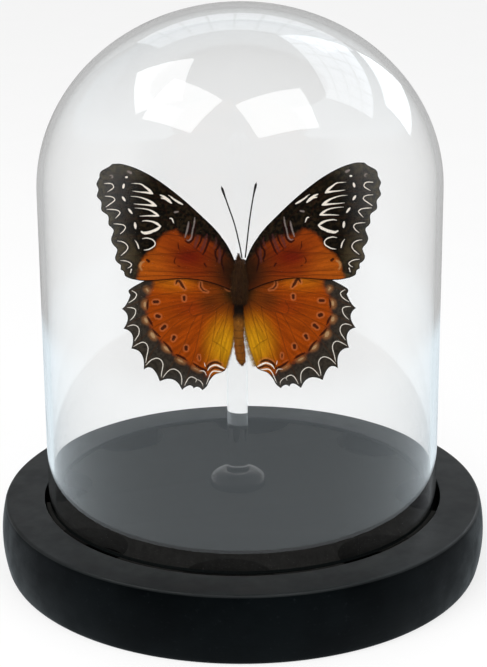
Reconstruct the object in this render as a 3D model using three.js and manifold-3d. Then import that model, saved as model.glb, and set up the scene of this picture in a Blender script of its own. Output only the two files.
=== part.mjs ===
// A set butterfly on a clear rod, under a glass dome on a round black wooden base.
// Millimetres, +Z up. The origin is the centre of the base's underside. The butterfly's
// upper side faces -Y, and its left wings are on the -X side.

import * as THREE from 'three';
import { mergeVertices } from 'three/addons/utils/BufferGeometryUtils.js';
import Module from 'manifold-3d';

const wasm = await Module();
wasm.setup();

// Driving dimensions: the case
const BASE_HEIGHT = 21.2;
const BASE_RADIUS = 75.8;
const BASE_SIDE_CURVE = 38;
const BASE_EDGE_CHAMFER = 0.7;
const RECESS_RADIUS = 62.2;
const RECESS_DEPTH = 7.2;
const RING_INNER_CHAMFER = 0.3;
const DECK_DROP = 1.0;
const NOTCH_COUNT = 8;
const NOTCH_RADIUS = 13.3;
const NOTCH_CENTRE_OUT = -0.4;
const NOTCH_FIRST_DEG = -5;
const DOME_RADIUS = 60.2;
const DOME_FLARE = 0.7;
const DOME_WALL = 1.8;
const DOME_STRAIGHT = 97;
const DOME_CAP = 54;
const GAP = 0.3;

// Driving dimensions: the stand
const ROD_RADIUS = 3.25;
const ROD_X = -1.1;
const ROD_Y = 4.5;
const ROD_TOP = 70.5;
const FOOT_RADIUS = 9;
const FOOT_HEIGHT = 5;
const FOOT_FLOOR = 1;
const FOOT_EDGE_HEIGHT = 1.6;
const FOOT_UNDERCUT = 0.8;

// Driving dimensions: the butterfly. Heights are above the ring, depths from the body's middle.
const BODY_Y = -2.7;
const WING_THICKNESS = 0.45;
const FOREWING_FACE = -0.65;
const HINDWING_FACE = 0.1;
const THORAX = { x: -0.3, z: 67.6, halfWidth: 2.3, halfDepth: 2.5, halfHeight: 7.2 };
const HEAD = { x: -0.1, z: 74.2, halfWidth: 1.5, halfDepth: 1.5, halfHeight: 1.5 };
const EYE_RADIUS = 0.85;
const EYE_SPREAD = 1.05;
const PALP_LENGTH = 2.6;
const PALP_RADIUS = 0.55;
const ABDOMEN_X = -0.6;
const ABDOMEN_TOP = 63.5;
const ABDOMEN_BEND_START = 52;
const ABDOMEN_TIP = 41.7;
const ABDOMEN_TIP_SHIFT = 1.0;
const SEGMENT_GROOVE = 0.94;
const SEGMENT_SWELL = 1.02;
const ANTENNA_RADIUS = 0.24;
const CLUB_RADIUS = 0.4;
const CLUB_LENGTH = 4.2;
const LEG_RADIUS = 0.26;
const GLUE = { x: -0.7, y: 3.2, z: 66.6, halfWidth: 2.0, halfDepth: 2.6, halfHeight: 3.2 };

const ROUND_SEGMENTS = 64;
const DOME_SEGMENTS = 48;
const CAP_STEPS = 10;
const SIDE_STEPS = 6;
const CROWN_STEPS = 5;
const ABDOMEN_STEPS = 21;
const STEPS_PER_SEGMENT = 3;

const deg = THREE.MathUtils.degToRad;
const deckTop = BASE_HEIGHT - DECK_DROP;
const recessFloor = BASE_HEIGHT - RECESS_DEPTH;

// Colours and finishes, seen in the photo
const finish = (color, roughness, metalness = 0) =>
  new THREE.MeshStandardMaterial({ color, roughness, metalness });
const clear = (color) => new THREE.MeshStandardMaterial({
  color, roughness: 0.05, metalness: 0, transparent: true, opacity: 0.3,
});
const blackWood = finish(0x24282a, 0.45);
const darkDeck = finish(0x35322f, 0.8);
const glass = clear(0xeef2f2);
const acrylic = clear(0xe4e9ea);
const chitin = finish(0x2a1c12, 0.75);
const forewingScales = finish(0x7a3512, 0.7);
const hindwingScales = finish(0xa35a18, 0.7);

const product = new THREE.Group();

function add(parent, name, geometry, material) {
  const mesh = new THREE.Mesh(geometry, material);
  mesh.name = name;
  parent.add(mesh);
  return mesh;
}

const points = (pairs) => pairs.map(([x, y]) => new THREE.Vector2(x, y));

// A solid turned about the Z axis from a profile of [radius, height] pairs
function turned(profile, segments) {
  return new THREE.LatheGeometry(points(profile), segments).rotateX(Math.PI / 2);
}

// Joins and cuts work on closed bodies whose shared vertices are merged
function toBody(geometry) {
  const bare = geometry.clone();
  bare.deleteAttribute('normal');
  bare.deleteAttribute('uv');
  const merged = mergeVertices(bare, 1e-4);
  const index = merged.index.array;
  const kept = [];
  for (let i = 0; i < index.length; i += 3) {
    const [a, b, c] = [index[i], index[i + 1], index[i + 2]];
    if (a !== b && b !== c && c !== a) kept.push(a, b, c);
  }
  const mesh = new wasm.Mesh({
    numProp: 3,
    vertProperties: new Float32Array(merged.attributes.position.array),
    triVerts: new Uint32Array(kept),
  });
  return new wasm.Manifold(mesh);
}

function toGeometry(body) {
  const mesh = body.getMesh();
  const geometry = new THREE.BufferGeometry();
  geometry.setAttribute('position', new THREE.BufferAttribute(new Float32Array(mesh.vertProperties), 3));
  geometry.setIndex(Array.from(mesh.triVerts));
  return geometry;
}

function ellipsoid({ x, z, halfWidth, halfDepth, halfHeight }, grow = 0, around = 16, along = 12) {
  return new THREE.SphereGeometry(1, around, along)
    .rotateX(Math.PI / 2)
    .scale(halfWidth + grow, halfDepth + grow, halfHeight + grow)
    .translate(x, 0, z);
}

function tube(route, radius, sides, steps) {
  const section = new THREE.Shape();
  for (let i = 0; i < sides; i += 1) {
    const angle = (i / sides) * 2 * Math.PI;
    const [x, y] = [radius * Math.cos(angle), radius * Math.sin(angle)];
    if (i === 0) section.moveTo(x, y);
    else section.lineTo(x, y);
  }
  const extrudePath = new THREE.CatmullRomCurve3(route.map((p) => new THREE.Vector3(...p)));
  return new THREE.ExtrudeGeometry(section, { steps, bevelEnabled: false, extrudePath });
}

// Base: a turned disc with a bulging side, a flat ring on top and a recess for the deck
function makeBase() {
  const middle = BASE_HEIGHT / 2;
  const side = [];
  for (let i = 0; i <= SIDE_STEPS; i += 1) {
    const z = BASE_EDGE_CHAMFER + (i / SIDE_STEPS) * (BASE_HEIGHT - 2 * BASE_EDGE_CHAMFER);
    side.push([BASE_RADIUS - (z - middle) ** 2 / (2 * BASE_SIDE_CURVE), z]);
  }
  const edge = side[0][0] - BASE_EDGE_CHAMFER;
  const profile = [
    [0, 0],
    [edge, 0],
    ...side,
    [edge, BASE_HEIGHT],
    [RECESS_RADIUS + RING_INNER_CHAMFER, BASE_HEIGHT],
    [RECESS_RADIUS, BASE_HEIGHT - RING_INNER_CHAMFER],
    [RECESS_RADIUS, recessFloor],
    [0, recessFloor],
  ];
  add(product, 'base', turned(profile, ROUND_SEGMENTS), blackWood);
}

// Deck: a disc that fills the recess, with round notches cut into its edge
function makeDeck() {
  const radius = RECESS_RADIUS - GAP;
  const out = RECESS_RADIUS + NOTCH_CENTRE_OUT;
  const pitch = (2 * Math.PI) / NOTCH_COUNT;
  const half = Math.acos((radius ** 2 + out ** 2 - NOTCH_RADIUS ** 2) / (2 * radius * out));
  const shape = new THREE.Shape();
  for (let i = 0; i < NOTCH_COUNT; i += 1) {
    const middle = deg(NOTCH_FIRST_DEG - 90) + i * pitch;
    const [x, y] = [out * Math.cos(middle), out * Math.sin(middle)];
    const meet = (angle) => Math.atan2(radius * Math.sin(angle) - y, radius * Math.cos(angle) - x);
    shape.absarc(x, y, NOTCH_RADIUS, meet(middle - half), meet(middle + half), true);
    shape.absarc(0, 0, radius, middle + half, middle + pitch - half, false);
  }
  const bottom = recessFloor + GAP;
  const geometry = new THREE.ExtrudeGeometry(shape, {
    depth: deckTop - bottom, bevelEnabled: false, curveSegments: 4,
  });
  add(product, 'deck', geometry.translate(0, 0, bottom), darkDeck);
}

// Dome: a straight wall that flares a little towards its rim, and a flattened round top
function makeDome() {
  const rim = deckTop + GAP;
  const shoulder = BASE_HEIGHT + DOME_STRAIGHT;
  const wall = (inset) => {
    const side = [[DOME_RADIUS + DOME_FLARE - inset, rim], [DOME_RADIUS - inset, shoulder]];
    for (let i = 1; i < CAP_STEPS; i += 1) {
      const angle = (i / CAP_STEPS) * (Math.PI / 2);
      side.push([
        (DOME_RADIUS - inset) * Math.cos(angle),
        shoulder + (DOME_CAP - inset) * Math.sin(angle),
      ]);
    }
    side.push([0, shoulder + DOME_CAP - inset]);
    return side;
  };
  const profile = [...wall(DOME_WALL).reverse(), ...wall(0)];
  add(product, 'glass_dome', turned(profile, DOME_SEGMENTS), glass);
}

// Stand: a low clear foot with a socket, and the rod that stands in it
function makeStand() {
  const stand = new THREE.Group();
  stand.position.set(ROD_X, ROD_Y, deckTop + GAP);
  const socket = ROD_RADIUS + GAP;
  const crown = [];
  for (let i = 0; i <= CROWN_STEPS; i += 1) {
    const angle = (i / CROWN_STEPS) * Math.PI / 2;
    crown.push([
      socket + (FOOT_RADIUS - socket) * Math.cos(angle),
      FOOT_EDGE_HEIGHT + (FOOT_HEIGHT - FOOT_EDGE_HEIGHT) * Math.sin(angle),
    ]);
  }
  const foot = [[0, 0], [FOOT_RADIUS - FOOT_UNDERCUT, 0], ...crown, [socket, FOOT_FLOOR], [0, FOOT_FLOOR]];
  add(stand, 'rod_foot', turned(foot, 32), acrylic);

  const bottom = FOOT_FLOOR + GAP;
  const top = BASE_HEIGHT + ROD_TOP - stand.position.z;
  const rod = new THREE.CylinderGeometry(ROD_RADIUS, ROD_RADIUS, top - bottom, 24)
    .rotateX(Math.PI / 2)
    .translate(0, 0, (top + bottom) / 2);
  add(stand, 'rod', rod, acrylic);
  product.add(stand);
}

// Butterfly. Everything below is in its own group, whose heights start at the ring's top.
const butterfly = new THREE.Group();
butterfly.position.set(0, BODY_Y, BASE_HEIGHT);
product.add(butterfly);

// Abdomen: half-widths at heights, from the tip to the waist, with a shallow ring per segment
function abdomen(grow) {
  const width = new THREE.SplineCurve(points([
    [0.35, ABDOMEN_TIP], [1.3, 43.6], [1.6, 47], [1.5, 51], [1.55, 56], [1.3, 60], [1.1, 63],
  ]));
  const profile = [[0, ABDOMEN_TIP - 0.1 - grow]];
  for (let i = 0; i <= ABDOMEN_STEPS; i += 1) {
    const { x, y } = width.getPoint(i / ABDOMEN_STEPS);
    const ringed = x * (i % STEPS_PER_SEGMENT === 0 ? SEGMENT_GROOVE : SEGMENT_SWELL);
    profile.push([ringed + grow, y]);
  }
  profile.push([0, ABDOMEN_TOP + grow]);
  const geometry = turned(profile, 14);
  const position = geometry.attributes.position;
  for (let i = 0; i < position.count; i += 1) {
    const below = Math.max(0, ABDOMEN_BEND_START - position.getZ(i)) / (ABDOMEN_BEND_START - ABDOMEN_TIP);
    position.setX(i, position.getX(i) + ABDOMEN_X + ABDOMEN_TIP_SHIFT * below ** 2);
  }
  return geometry;
}

// Legs: thigh, shin and foot of each walking leg, folded against the underside
const LEG_ROUTES = {
  middle: [[0.8, 1.6, 69.5], [3.2, 1.9, 72.2], [4.4, 1.8, 72.0], [3.4, 2.1, 67.6], [2.6, 2.3, 65.4]],
  hind: [[0.6, 1.5, 64.2], [3.4, 1.7, 65.2], [5.2, 1.5, 64.8], [4.8, 1.7, 59.0], [3.3, 1.9, 54.2]],
};

function bodyParts(grow) {
  const eye = (side) => ellipsoid({
    x: HEAD.x + side * EYE_SPREAD, z: HEAD.z + 0.3,
    halfWidth: EYE_RADIUS, halfDepth: EYE_RADIUS, halfHeight: EYE_RADIUS,
  }, grow, 10, 8);
  return [abdomen(grow), ellipsoid(THORAX, grow), ellipsoid(HEAD, grow, 12, 8), eye(-1), eye(1)];
}

function palp(x, lean) {
  return new THREE.ConeGeometry(PALP_RADIUS, PALP_LENGTH, 8)
    .rotateX(Math.PI / 2)
    .rotateY(lean)
    .translate(x, -0.2, HEAD.z + 1.6);
}

const join = (parts) => parts.map(toBody).reduce((whole, part) => whole.add(part));

function makeBody() {
  const legs = [];
  for (const side of [-1, 1]) {
    for (const route of Object.values(LEG_ROUTES)) {
      legs.push(tube(route.map(([x, y, z]) => [THORAX.x + side * x, y, z]), LEG_RADIUS, 6, 10));
    }
  }
  const parts = [...bodyParts(0), palp(-0.85, 0.12), palp(-0.2, -0.12), ...legs];
  add(butterfly, 'body', toGeometry(join(parts)), chitin);
}

// Antennae: a thin shaft with a slightly thicker club at its tip
const ANTENNA_ROUTES = {
  antenna_left: [[0.5, 76.0], [-0.2, 80.0], [-1.6, 86.0], [-3.2, 91.0], [-5.4, 97.6]],
  antenna_right: [[1.5, 76.0], [2.2, 82.0], [3.1, 89.0], [4.1, 95.0], [4.9, 98.6]],
};

function makeAntennae(clearance) {
  for (const [name, route] of Object.entries(ANTENNA_ROUTES)) {
    const shaft = tube(route.map(([x, z]) => [x, 0, z]), ANTENNA_RADIUS, 7, 12);
    const [[x0, z0], [x1, z1]] = route.slice(-2);
    const lean = Math.atan2(x1 - x0, z1 - z0);
    const club = new THREE.SphereGeometry(1, 8, 8)
      .rotateX(Math.PI / 2)
      .scale(CLUB_RADIUS, CLUB_RADIUS, CLUB_LENGTH / 2)
      .translate(0, 0, -CLUB_LENGTH / 2 + CLUB_RADIUS)
      .rotateY(lean)
      .translate(x1, 0, z1);
    add(butterfly, name, toGeometry(join([shaft, club]).subtract(clearance)), chitin);
  }
}

// Wing outlines: [out from the middle, up from the ring's top]
const FOREWING = {
  front: [[2.0, 76.0], [3.5, 79.3], [5.0, 81.7], [7.5, 84.9], [10, 87.5], [15, 92.4], [20, 96.8],
    [25, 100.6], [30, 103.4], [34.5, 104.9], [37.4, 105.0]],
  edge: [[38.6, 104.1], [40.8, 102.9], [41.4, 101.8], [41.5, 100.9], [42.4, 99.0], [41.9, 97.3],
    [42.4, 95.3], [41.2, 93.5], [41.2, 91.0], [39.3, 89.2], [39.2, 86.6], [37.8, 85.0], [38.6, 82.3],
    [38.1, 80.6], [36.9, 79.0], [37.6, 76.6], [37.1, 75.2], [36.0, 74.2], [36.0, 72.9], [35.1, 72.2],
    [34.7, 70.8], [33.0, 69.9]],
  back: [[29.5, 69.2], [24.0, 69.3], [19.0, 69.7], [14.0, 69.5], [9.0, 68.4], [4.0, 66.4], [0.8, 64.8]],
};
const HINDWING = {
  front: [[8.0, 73.5], [16.0, 73.6], [23.0, 71.6], [29.0, 69.0], [33.2, 66.7], [33.9, 65.7], [33.4, 64.6]],
  // the tip of each tooth, after the deepest point of the hollow before it
  teeth: [[[34.7, 61.8], [36.1, 60.3]], [[34.4, 57.6], [35.8, 54.0]], [[33.2, 51.9], [33.6, 47.5]],
    [[30.5, 45.6], [30.0, 40.7]], [[27.3, 41.0], [25.1, 36.8]], [[21.0, 37.3], [18.3, 33.9]],
    [[16.0, 35.3], [14.7, 34.3]], [[13.4, 34.8], [12.0, 33.7]]],
  tail: [[10.6, 35.0], [9.7, 36.8], [8.2, 38.6], [6.2, 39.4], [5.0, 40.0]],
  inner: [[4.5, 41.0], [3.6, 44.0], [2.7, 47.3], [2.2, 50.0], [1.6, 54.0], [0.8, 62.0]],
};

// The right wings grew a little narrower than the left: a small skew about a point of the wing
const SETTING = {
  forewing_left: { side: -1, skew: 0, about: [0, 70] },
  forewing_right: { side: 1, skew: 0.018, about: [0, 70] },
  hindwing_left: { side: -1, skew: 0, about: [18, 38.6] },
  hindwing_right: { side: 1, skew: 0.045, about: [18, 38.6] },
};

function placer({ side, skew, about: [out, up] }) {
  return ([u, v]) => new THREE.Vector2(side * (u - skew * (v - up)), v - skew * (u - out));
}

function forewingShape(place) {
  const shape = new THREE.Shape();
  shape.moveTo(...place([1.2, 73.5]).toArray());
  shape.splineThru(FOREWING.front.map(place));
  shape.splineThru(FOREWING.edge.map(place));
  shape.splineThru(FOREWING.back.map(place));
  shape.closePath();
  return shape;
}

function hindwingShape(place) {
  const shape = new THREE.Shape();
  shape.moveTo(...place([0.8, 71.5]).toArray());
  shape.splineThru(HINDWING.front.map(place));
  let tip = place(HINDWING.front.at(-1));
  for (const [hollow, next] of HINDWING.teeth) {
    const end = place(next);
    const control = place(hollow).multiplyScalar(2).sub(tip.add(end).multiplyScalar(0.5));
    shape.quadraticCurveTo(control.x, control.y, end.x, end.y);
    tip = end.clone();
  }
  shape.splineThru(HINDWING.tail.map(place));
  shape.splineThru(HINDWING.inner.map(place));
  shape.closePath();
  return shape;
}

// A wing is a thin plate that stands upright, clipped where the body fills its root
function makeWing(name, outline, face, material, clearance) {
  const geometry = new THREE.ExtrudeGeometry(outline(placer(SETTING[name])), {
    depth: WING_THICKNESS, bevelEnabled: false, curveSegments: 3,
  });
  geometry.rotateX(Math.PI / 2).translate(0, face + WING_THICKNESS, 0);
  const pieces = toBody(geometry).subtract(clearance).decompose();
  const wing = pieces.reduce((best, piece) => (piece.volume() > best.volume() ? piece : best));
  add(butterfly, name, toGeometry(wing), material);
}

// Dab of clear glue between the thorax and the rod, shaped by both
function makeGlue(clearance) {
  const dab = ellipsoid(GLUE).translate(0, GLUE.y, 0);
  const rod = new THREE.CylinderGeometry(ROD_RADIUS + GAP, ROD_RADIUS + GAP, ROD_TOP, 24)
    .rotateX(Math.PI / 2)
    .translate(ROD_X, ROD_Y - BODY_Y, GLUE.z);
  const shaped = toBody(dab).subtract(clearance).subtract(toBody(rod));
  add(butterfly, 'glue_dab', toGeometry(shaped), acrylic);
}

makeBase();
makeDeck();
makeDome();
makeStand();
makeBody();
const bodyClearance = join(bodyParts(GAP));
makeAntennae(bodyClearance);
makeWing('forewing_left', forewingShape, FOREWING_FACE, forewingScales, bodyClearance);
makeWing('forewing_right', forewingShape, FOREWING_FACE, forewingScales, bodyClearance);
makeWing('hindwing_left', hindwingShape, HINDWING_FACE, hindwingScales, bodyClearance);
makeWing('hindwing_right', hindwingShape, HINDWING_FACE, hindwingScales, bodyClearance);
makeGlue(bodyClearance);

export default product;
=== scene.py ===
import math

import bpy
import numpy as np
from mathutils import Matrix, Vector
from mathutils.geometry import delaunay_2d_cdt


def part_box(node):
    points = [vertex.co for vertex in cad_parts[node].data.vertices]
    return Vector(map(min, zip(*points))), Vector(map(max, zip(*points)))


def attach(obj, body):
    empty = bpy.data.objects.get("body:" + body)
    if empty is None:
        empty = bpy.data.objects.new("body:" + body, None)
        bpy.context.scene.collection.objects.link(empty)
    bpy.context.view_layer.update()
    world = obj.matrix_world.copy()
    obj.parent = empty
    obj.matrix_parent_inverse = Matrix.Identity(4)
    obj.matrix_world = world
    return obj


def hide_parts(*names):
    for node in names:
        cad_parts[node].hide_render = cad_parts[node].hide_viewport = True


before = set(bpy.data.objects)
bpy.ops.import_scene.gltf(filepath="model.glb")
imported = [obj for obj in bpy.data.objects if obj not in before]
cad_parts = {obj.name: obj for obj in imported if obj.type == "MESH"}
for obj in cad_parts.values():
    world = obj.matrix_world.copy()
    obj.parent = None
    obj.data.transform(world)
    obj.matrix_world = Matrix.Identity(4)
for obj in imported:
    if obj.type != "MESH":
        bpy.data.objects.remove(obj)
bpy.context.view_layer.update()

MM = 0.001
RANDOM = np.random.default_rng(11)


def box_mm(node):
    """A CAD node's lowest and highest corner in millimetres."""
    low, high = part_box(node)
    return np.array(low) / MM, np.array(high) / MM


# Sizes read from the frame
BASE_HIGH = box_mm("base")[1]
DECK_LOW, DECK_HIGH = box_mm("deck")
DOME_LOW, DOME_HIGH = box_mm("glass_dome")
ROD_LOW, ROD_HIGH = box_mm("rod")
FOOT_LOW, FOOT_HIGH = box_mm("rod_foot")
GLUE_LOW, GLUE_HIGH = box_mm("glue_dab")
FORE_LOW, FORE_HIGH = box_mm("forewing_left")
HIND_LOW, HIND_HIGH = box_mm("hindwing_left")
RING_TOP = BASE_HIGH[2]

# The case's own sizes, those of the recess and its notches as in the solids
BASE_RADIUS = BASE_HIGH[0]
BASE_SIDE_CURVE = 38
BASE_EDGE = 0.7
RECESS_RADIUS = 62.2
DECK_GAP = 0.3
RECESS_FLOOR = DECK_LOW[2] - DECK_GAP
NOTCH_COUNT = 8
NOTCH_RADIUS = 13.3
NOTCH_CENTRE_OUT = -0.4
NOTCH_FIRST_DEG = -5
DOME_WALL = 1.8
DOME_FLARE = 0.7
DOME_RADIUS = DOME_HIGH[0] - DOME_FLARE
DOME_SHOULDER = RING_TOP + 97
RIM_ROUNDING = DOME_WALL / 2

# The butterfly's own sizes. Wing places are (out from the middle, up from the ring's top).
BODY_Y = -2.7
FORE_Y = (FORE_LOW[1] + FORE_HIGH[1]) / 2
HIND_Y = (HIND_LOW[1] + HIND_HIGH[1]) / 2
SHEET_THICKNESS = 0.14
GRID_STEP = 0.22
MARK_TAPER = 1.2
THIN_MARK = 0.25
BODY_HAIRS = 7000
PALP_HAIRS = 420
FRINGE_HAIRS = 900


# Shader building

class Shader:
    """A material's node tree, built from short calls that return sockets."""

    def __init__(self, tree):
        self.tree = tree
        tree.nodes.clear()

    def node(self, kind, **settings):
        made = self.tree.nodes.new("ShaderNode" + kind)
        for key, value in settings.items():
            setattr(made, key, value)
        return made

    def link(self, source, socket):
        """Joins two sockets, or sets a socket to a plain value."""
        if isinstance(source, bpy.types.NodeSocket):
            self.tree.links.new(source, socket)
        elif socket.type == "RGBA" and not hasattr(source, "__len__"):
            socket.default_value = (source, source, source, 1.0)
        else:
            socket.default_value = source

    def math(self, operation, a, b=0.0, c=None):
        made = self.node("Math", operation=operation)
        self.link(a, made.inputs[0])
        self.link(b, made.inputs[1])
        if c is not None:
            self.link(c, made.inputs[2])
        return made.outputs[0]

    def times(self, a, b):
        return self.math("MULTIPLY", a, b)

    def less(self, a, b):
        return self.math("SUBTRACT", a, b)

    def apart(self, kind, output):
        """The X, Y and Z of a node's vector."""
        made = self.node("SeparateXYZ")
        self.link(self.node(kind).outputs[output], made.inputs[0])
        return [made.outputs[axis] for axis in "XYZ"]

    def length(self, a, b):
        return self.math("SQRT", self.math("ADD", self.times(a, a), self.times(b, b)))

    def ramp(self, value, low, high, start=0.0, end=1.0):
        """A smooth step from start to end as value goes from low to high."""
        made = self.node("MapRange", interpolation_type="SMOOTHSTEP")
        ends = {"Value": value, "From Min": low, "From Max": high, "To Min": start, "To Max": end}
        for name, source in ends.items():
            self.link(source, made.inputs[name])
        return made.outputs["Result"]

    def mix(self, factor, a, b, blend="MIX"):
        made = self.node("Mix", data_type="RGBA", blend_type=blend)
        self.link(factor, made.inputs["Factor"])
        self.link(a, made.inputs[6])
        self.link(b, made.inputs[7])
        return made.outputs[2]

    def noise(self, scale, detail=3.0, stretch=(1, 1, 1)):
        """Noise over the piece's own space. scale is in cycles per millimetre."""
        made = self.node("TexNoise")
        place = self.node("Mapping")
        place.inputs["Scale"].default_value = Vector(stretch) * scale / MM
        self.link(self.node("TexCoord").outputs["Object"], place.inputs["Vector"])
        self.link(place.outputs[0], made.inputs["Vector"])
        made.inputs["Scale"].default_value = 1.0
        made.inputs["Detail"].default_value = detail
        made.inputs["Roughness"].default_value = 0.55
        return made.outputs["Fac"]

    def field(self, name):
        return self.node("Attribute", attribute_name=name).outputs["Fac"]

    def bump(self, height, strength, distance, normal=None):
        made = self.node("Bump")
        made.inputs["Strength"].default_value = strength
        made.inputs["Distance"].default_value = distance * MM
        self.link(height, made.inputs["Height"])
        if normal is not None:
            self.link(normal, made.inputs["Normal"])
        return made.outputs[0]


def rgb(red, green, blue):
    """A colour given as it looks on screen, 0 to 255, as linear light."""
    def linear(c):
        c /= 255
        return c / 12.92 if c <= 0.04045 else ((c + 0.055) / 1.055) ** 2.4
    return (linear(red), linear(green), linear(blue), 1.0)


def material(name, color, roughness, normal=None, **sockets):
    """A surface. Colour, roughness and normal are each a value, or a function that builds it on a Shader."""
    made = bpy.data.materials.new(name)
    made.use_nodes = True
    shader = Shader(made.node_tree)
    surface = shader.node("BsdfPrincipled")
    out = shader.node("OutputMaterial")
    shader.link(surface.outputs[0], out.inputs["Surface"])
    for source, socket in ((color, "Base Color"), (roughness, "Roughness"), (normal, "Normal")):
        if callable(source):
            source = source(shader)
        if source is not None:
            shader.link(source, surface.inputs[socket])
    for key, value in sockets.items():
        surface.inputs[key.replace("_", " ")].default_value = value
    return made


# Materials of the case

def black_wood(name, dark, light, gloss):
    """Black satin paint on turned wood: fine turning marks, faint dust and slightly uneven gloss."""
    def color(s):
        dust = s.ramp(s.noise(0.9, 6), 0.6, 0.8, 0, 0.1)
        cloud = s.mix(s.ramp(s.noise(0.05, 4), 0.3, 0.7), dark, light)
        return s.mix(dust, cloud, rgb(70, 76, 80))

    def normal(s):
        turning = s.noise(0.12, 4, (1, 1, 12))
        return s.bump(s.noise(1.6, 5), 0.28, 0.05, s.bump(turning, 0.22, 0.12))
    return material(name, color, lambda s: s.ramp(s.noise(0.12, 4), 0.3, 0.7, 0.38, 0.52), normal,
                    Specular_IOR_Level=gloss)


def dark_deck():
    """Dead matt black-brown board with fine pale speckles and short fibres."""
    def color(s):
        grain = s.mix(s.noise(0.5, 6, (1, 0.35, 1)), rgb(17, 17, 16), rgb(38, 38, 37))
        speck = s.ramp(s.noise(2.2, 4), 0.6, 0.72, 0, 0.32)
        return s.mix(speck, grain, rgb(84, 82, 78))
    return material("dark_deck", color, 0.9, lambda s: s.bump(s.noise(1.8, 6), 0.4, 0.1),
                    Specular_IOR_Level=0.0)


def clear(name, ior, wave_scale, wave_height, absorb, density):
    """See-through material: plain transmission and IOR, with absorption through its thickness."""
    made = material(name, (1, 1, 1, 1), lambda s: s.ramp(s.noise(0.02, 2), 0.4, 0.7, 0.0, 0.012),
                    lambda s: s.bump(s.noise(wave_scale, 2), 0.5, wave_height),
                    Transmission_Weight=1.0, IOR=ior)
    tree = made.node_tree
    absorption = tree.nodes.new("ShaderNodeVolumeAbsorption")
    absorption.inputs["Color"].default_value = absorb
    absorption.inputs["Density"].default_value = density
    out = next(n for n in tree.nodes if n.type == "OUTPUT_MATERIAL")
    tree.links.new(absorption.outputs[0], out.inputs["Volume"])
    return made


def dull(name, dark, light):
    """Dark stuff without any gloss, painted dark wholly or partly as shade: a ground edge, a stuck-down pad
    or a deep recess.
    """
    return material(name, lambda s: s.mix(s.noise(1.5, 4), dark, light), 0.7,
                    lambda s: s.bump(s.noise(4.0, 4), 0.4, 0.05), Specular_IOR_Level=0.0)


# Mesh building

def piece(name, points, faces, finish, stands_for=(), sharp_deg=None):
    """A mesh from points in millimetres, on the one body and the nodes it stands for."""
    mesh = bpy.data.meshes.new(name)
    mesh.from_pydata((np.asarray(points, float) * MM).tolist(), [], [tuple(map(int, f)) for f in faces])
    mesh.materials.append(finish)
    mesh.polygons.foreach_set("use_smooth", [True] * len(mesh.polygons))
    if sharp_deg is not None:
        mesh.set_sharp_from_angle(angle=math.radians(sharp_deg))
    mesh.update()
    made = bpy.data.objects.new(name, mesh)
    bpy.context.collection.objects.link(made)
    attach(made, "root")
    if stands_for:
        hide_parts(*stands_for)
    return made


def second_finish(made, finish, chosen):
    """Gives the faces whose middle, in millimetres, passes the test a material of their own."""
    made.data.materials.append(finish)
    for face in made.data.polygons:
        if chosen(face.center / MM, face.normal):
            face.material_index = len(made.data.materials) - 1


def see_through(made):
    """Light reaches what is inside a clear piece without being darkened by it."""
    made.visible_shadow = False
    made.visible_diffuse = False


def band(low, high, count):
    """Quads between two rings of count points, from the number of each ring's first point."""
    return [(low + k, low + (k + 1) % count, high + (k + 1) % count, high + k) for k in range(count)]


def lathe(profile, segments):
    """Points and faces of a profile of (radius, height) turned about Z. A radius of 0 lies on the axis."""
    points, rings, faces = [], [], []
    for radius, height in profile:
        first = len(points)
        if radius < 1e-6:
            points.append((0, 0, height))
        else:
            for k in range(segments):
                angle = 2 * math.pi * k / segments
                points.append((radius * math.cos(angle), radius * math.sin(angle), height))
        rings.append(range(first, len(points)))
    for low, high in zip(rings, rings[1:]):
        for k in range(segments):
            j = (k + 1) % segments
            corners = (low[k % len(low)], low[j % len(low)], high[j % len(high)], high[k % len(high)])
            faces.append(tuple(dict.fromkeys(corners)))
    return points, faces


def rounded(corners):
    """A profile whose corners, given as (radius, height, rounding), become short curves."""
    path = []
    for i, (x, y, size) in enumerate(corners):
        if size == 0 or i in (0, len(corners) - 1):
            path.append((x, y))
            continue
        here = np.array((x, y))
        before, after = (np.array(corners[k][:2]) - here for k in (i - 1, i + 1))
        start = here + before / np.linalg.norm(before) * size
        end = here + after / np.linalg.norm(after) * size
        for t in np.linspace(0, 1, 5):
            path.append(tuple((1 - t) ** 2 * start + 2 * t * (1 - t) * here + t ** 2 * end))
    return path


def catmull(points, step):
    """A smooth line through given points, with points about step apart."""
    p = np.array(points, float)
    if len(p) < 3:
        count = max(2, int(np.linalg.norm(p[-1] - p[0]) / step) + 1)
        return p[0] + (p[-1] - p[0]) * np.linspace(0, 1, count)[:, None]
    p = np.vstack([2 * p[0] - p[1], p, 2 * p[-1] - p[-2]])
    line = []
    for a, b, c, d in zip(p, p[1:], p[2:], p[3:]):
        count = max(1, int(np.linalg.norm(c - b) / step))
        for t in np.arange(count) / count:
            line.append(0.5 * (2 * b + (c - a) * t + (2 * a - 5 * b + 4 * c - d) * t ** 2
                               + (3 * b - a - 3 * c + d) * t ** 3))
    line.append(p[-2])
    return np.array(line)


def tube(route, radii, sides):
    """Points and faces of a closed round tube along a route of 3D points, with a radius at each point."""
    route = np.asarray(route, float)
    ahead = np.gradient(route, axis=0)
    ahead /= np.linalg.norm(ahead, axis=1)[:, None]
    side = np.cross(ahead, (0.13, 1.0, 0.07))
    side /= np.linalg.norm(side, axis=1)[:, None]
    other = np.cross(ahead, side)
    points, faces = [], []
    for at, s, o, radius in zip(route, side, other, radii):
        for k in range(sides):
            angle = 2 * math.pi * k / sides
            points.append(at + radius * (math.cos(angle) * s + math.sin(angle) * o))
    for ring in range(len(route) - 1):
        faces += band(ring * sides, (ring + 1) * sides, sides)
    faces.append(tuple(range(sides))[::-1])
    faces.append(tuple(range(len(points) - sides, len(points))))
    return points, faces


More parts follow.
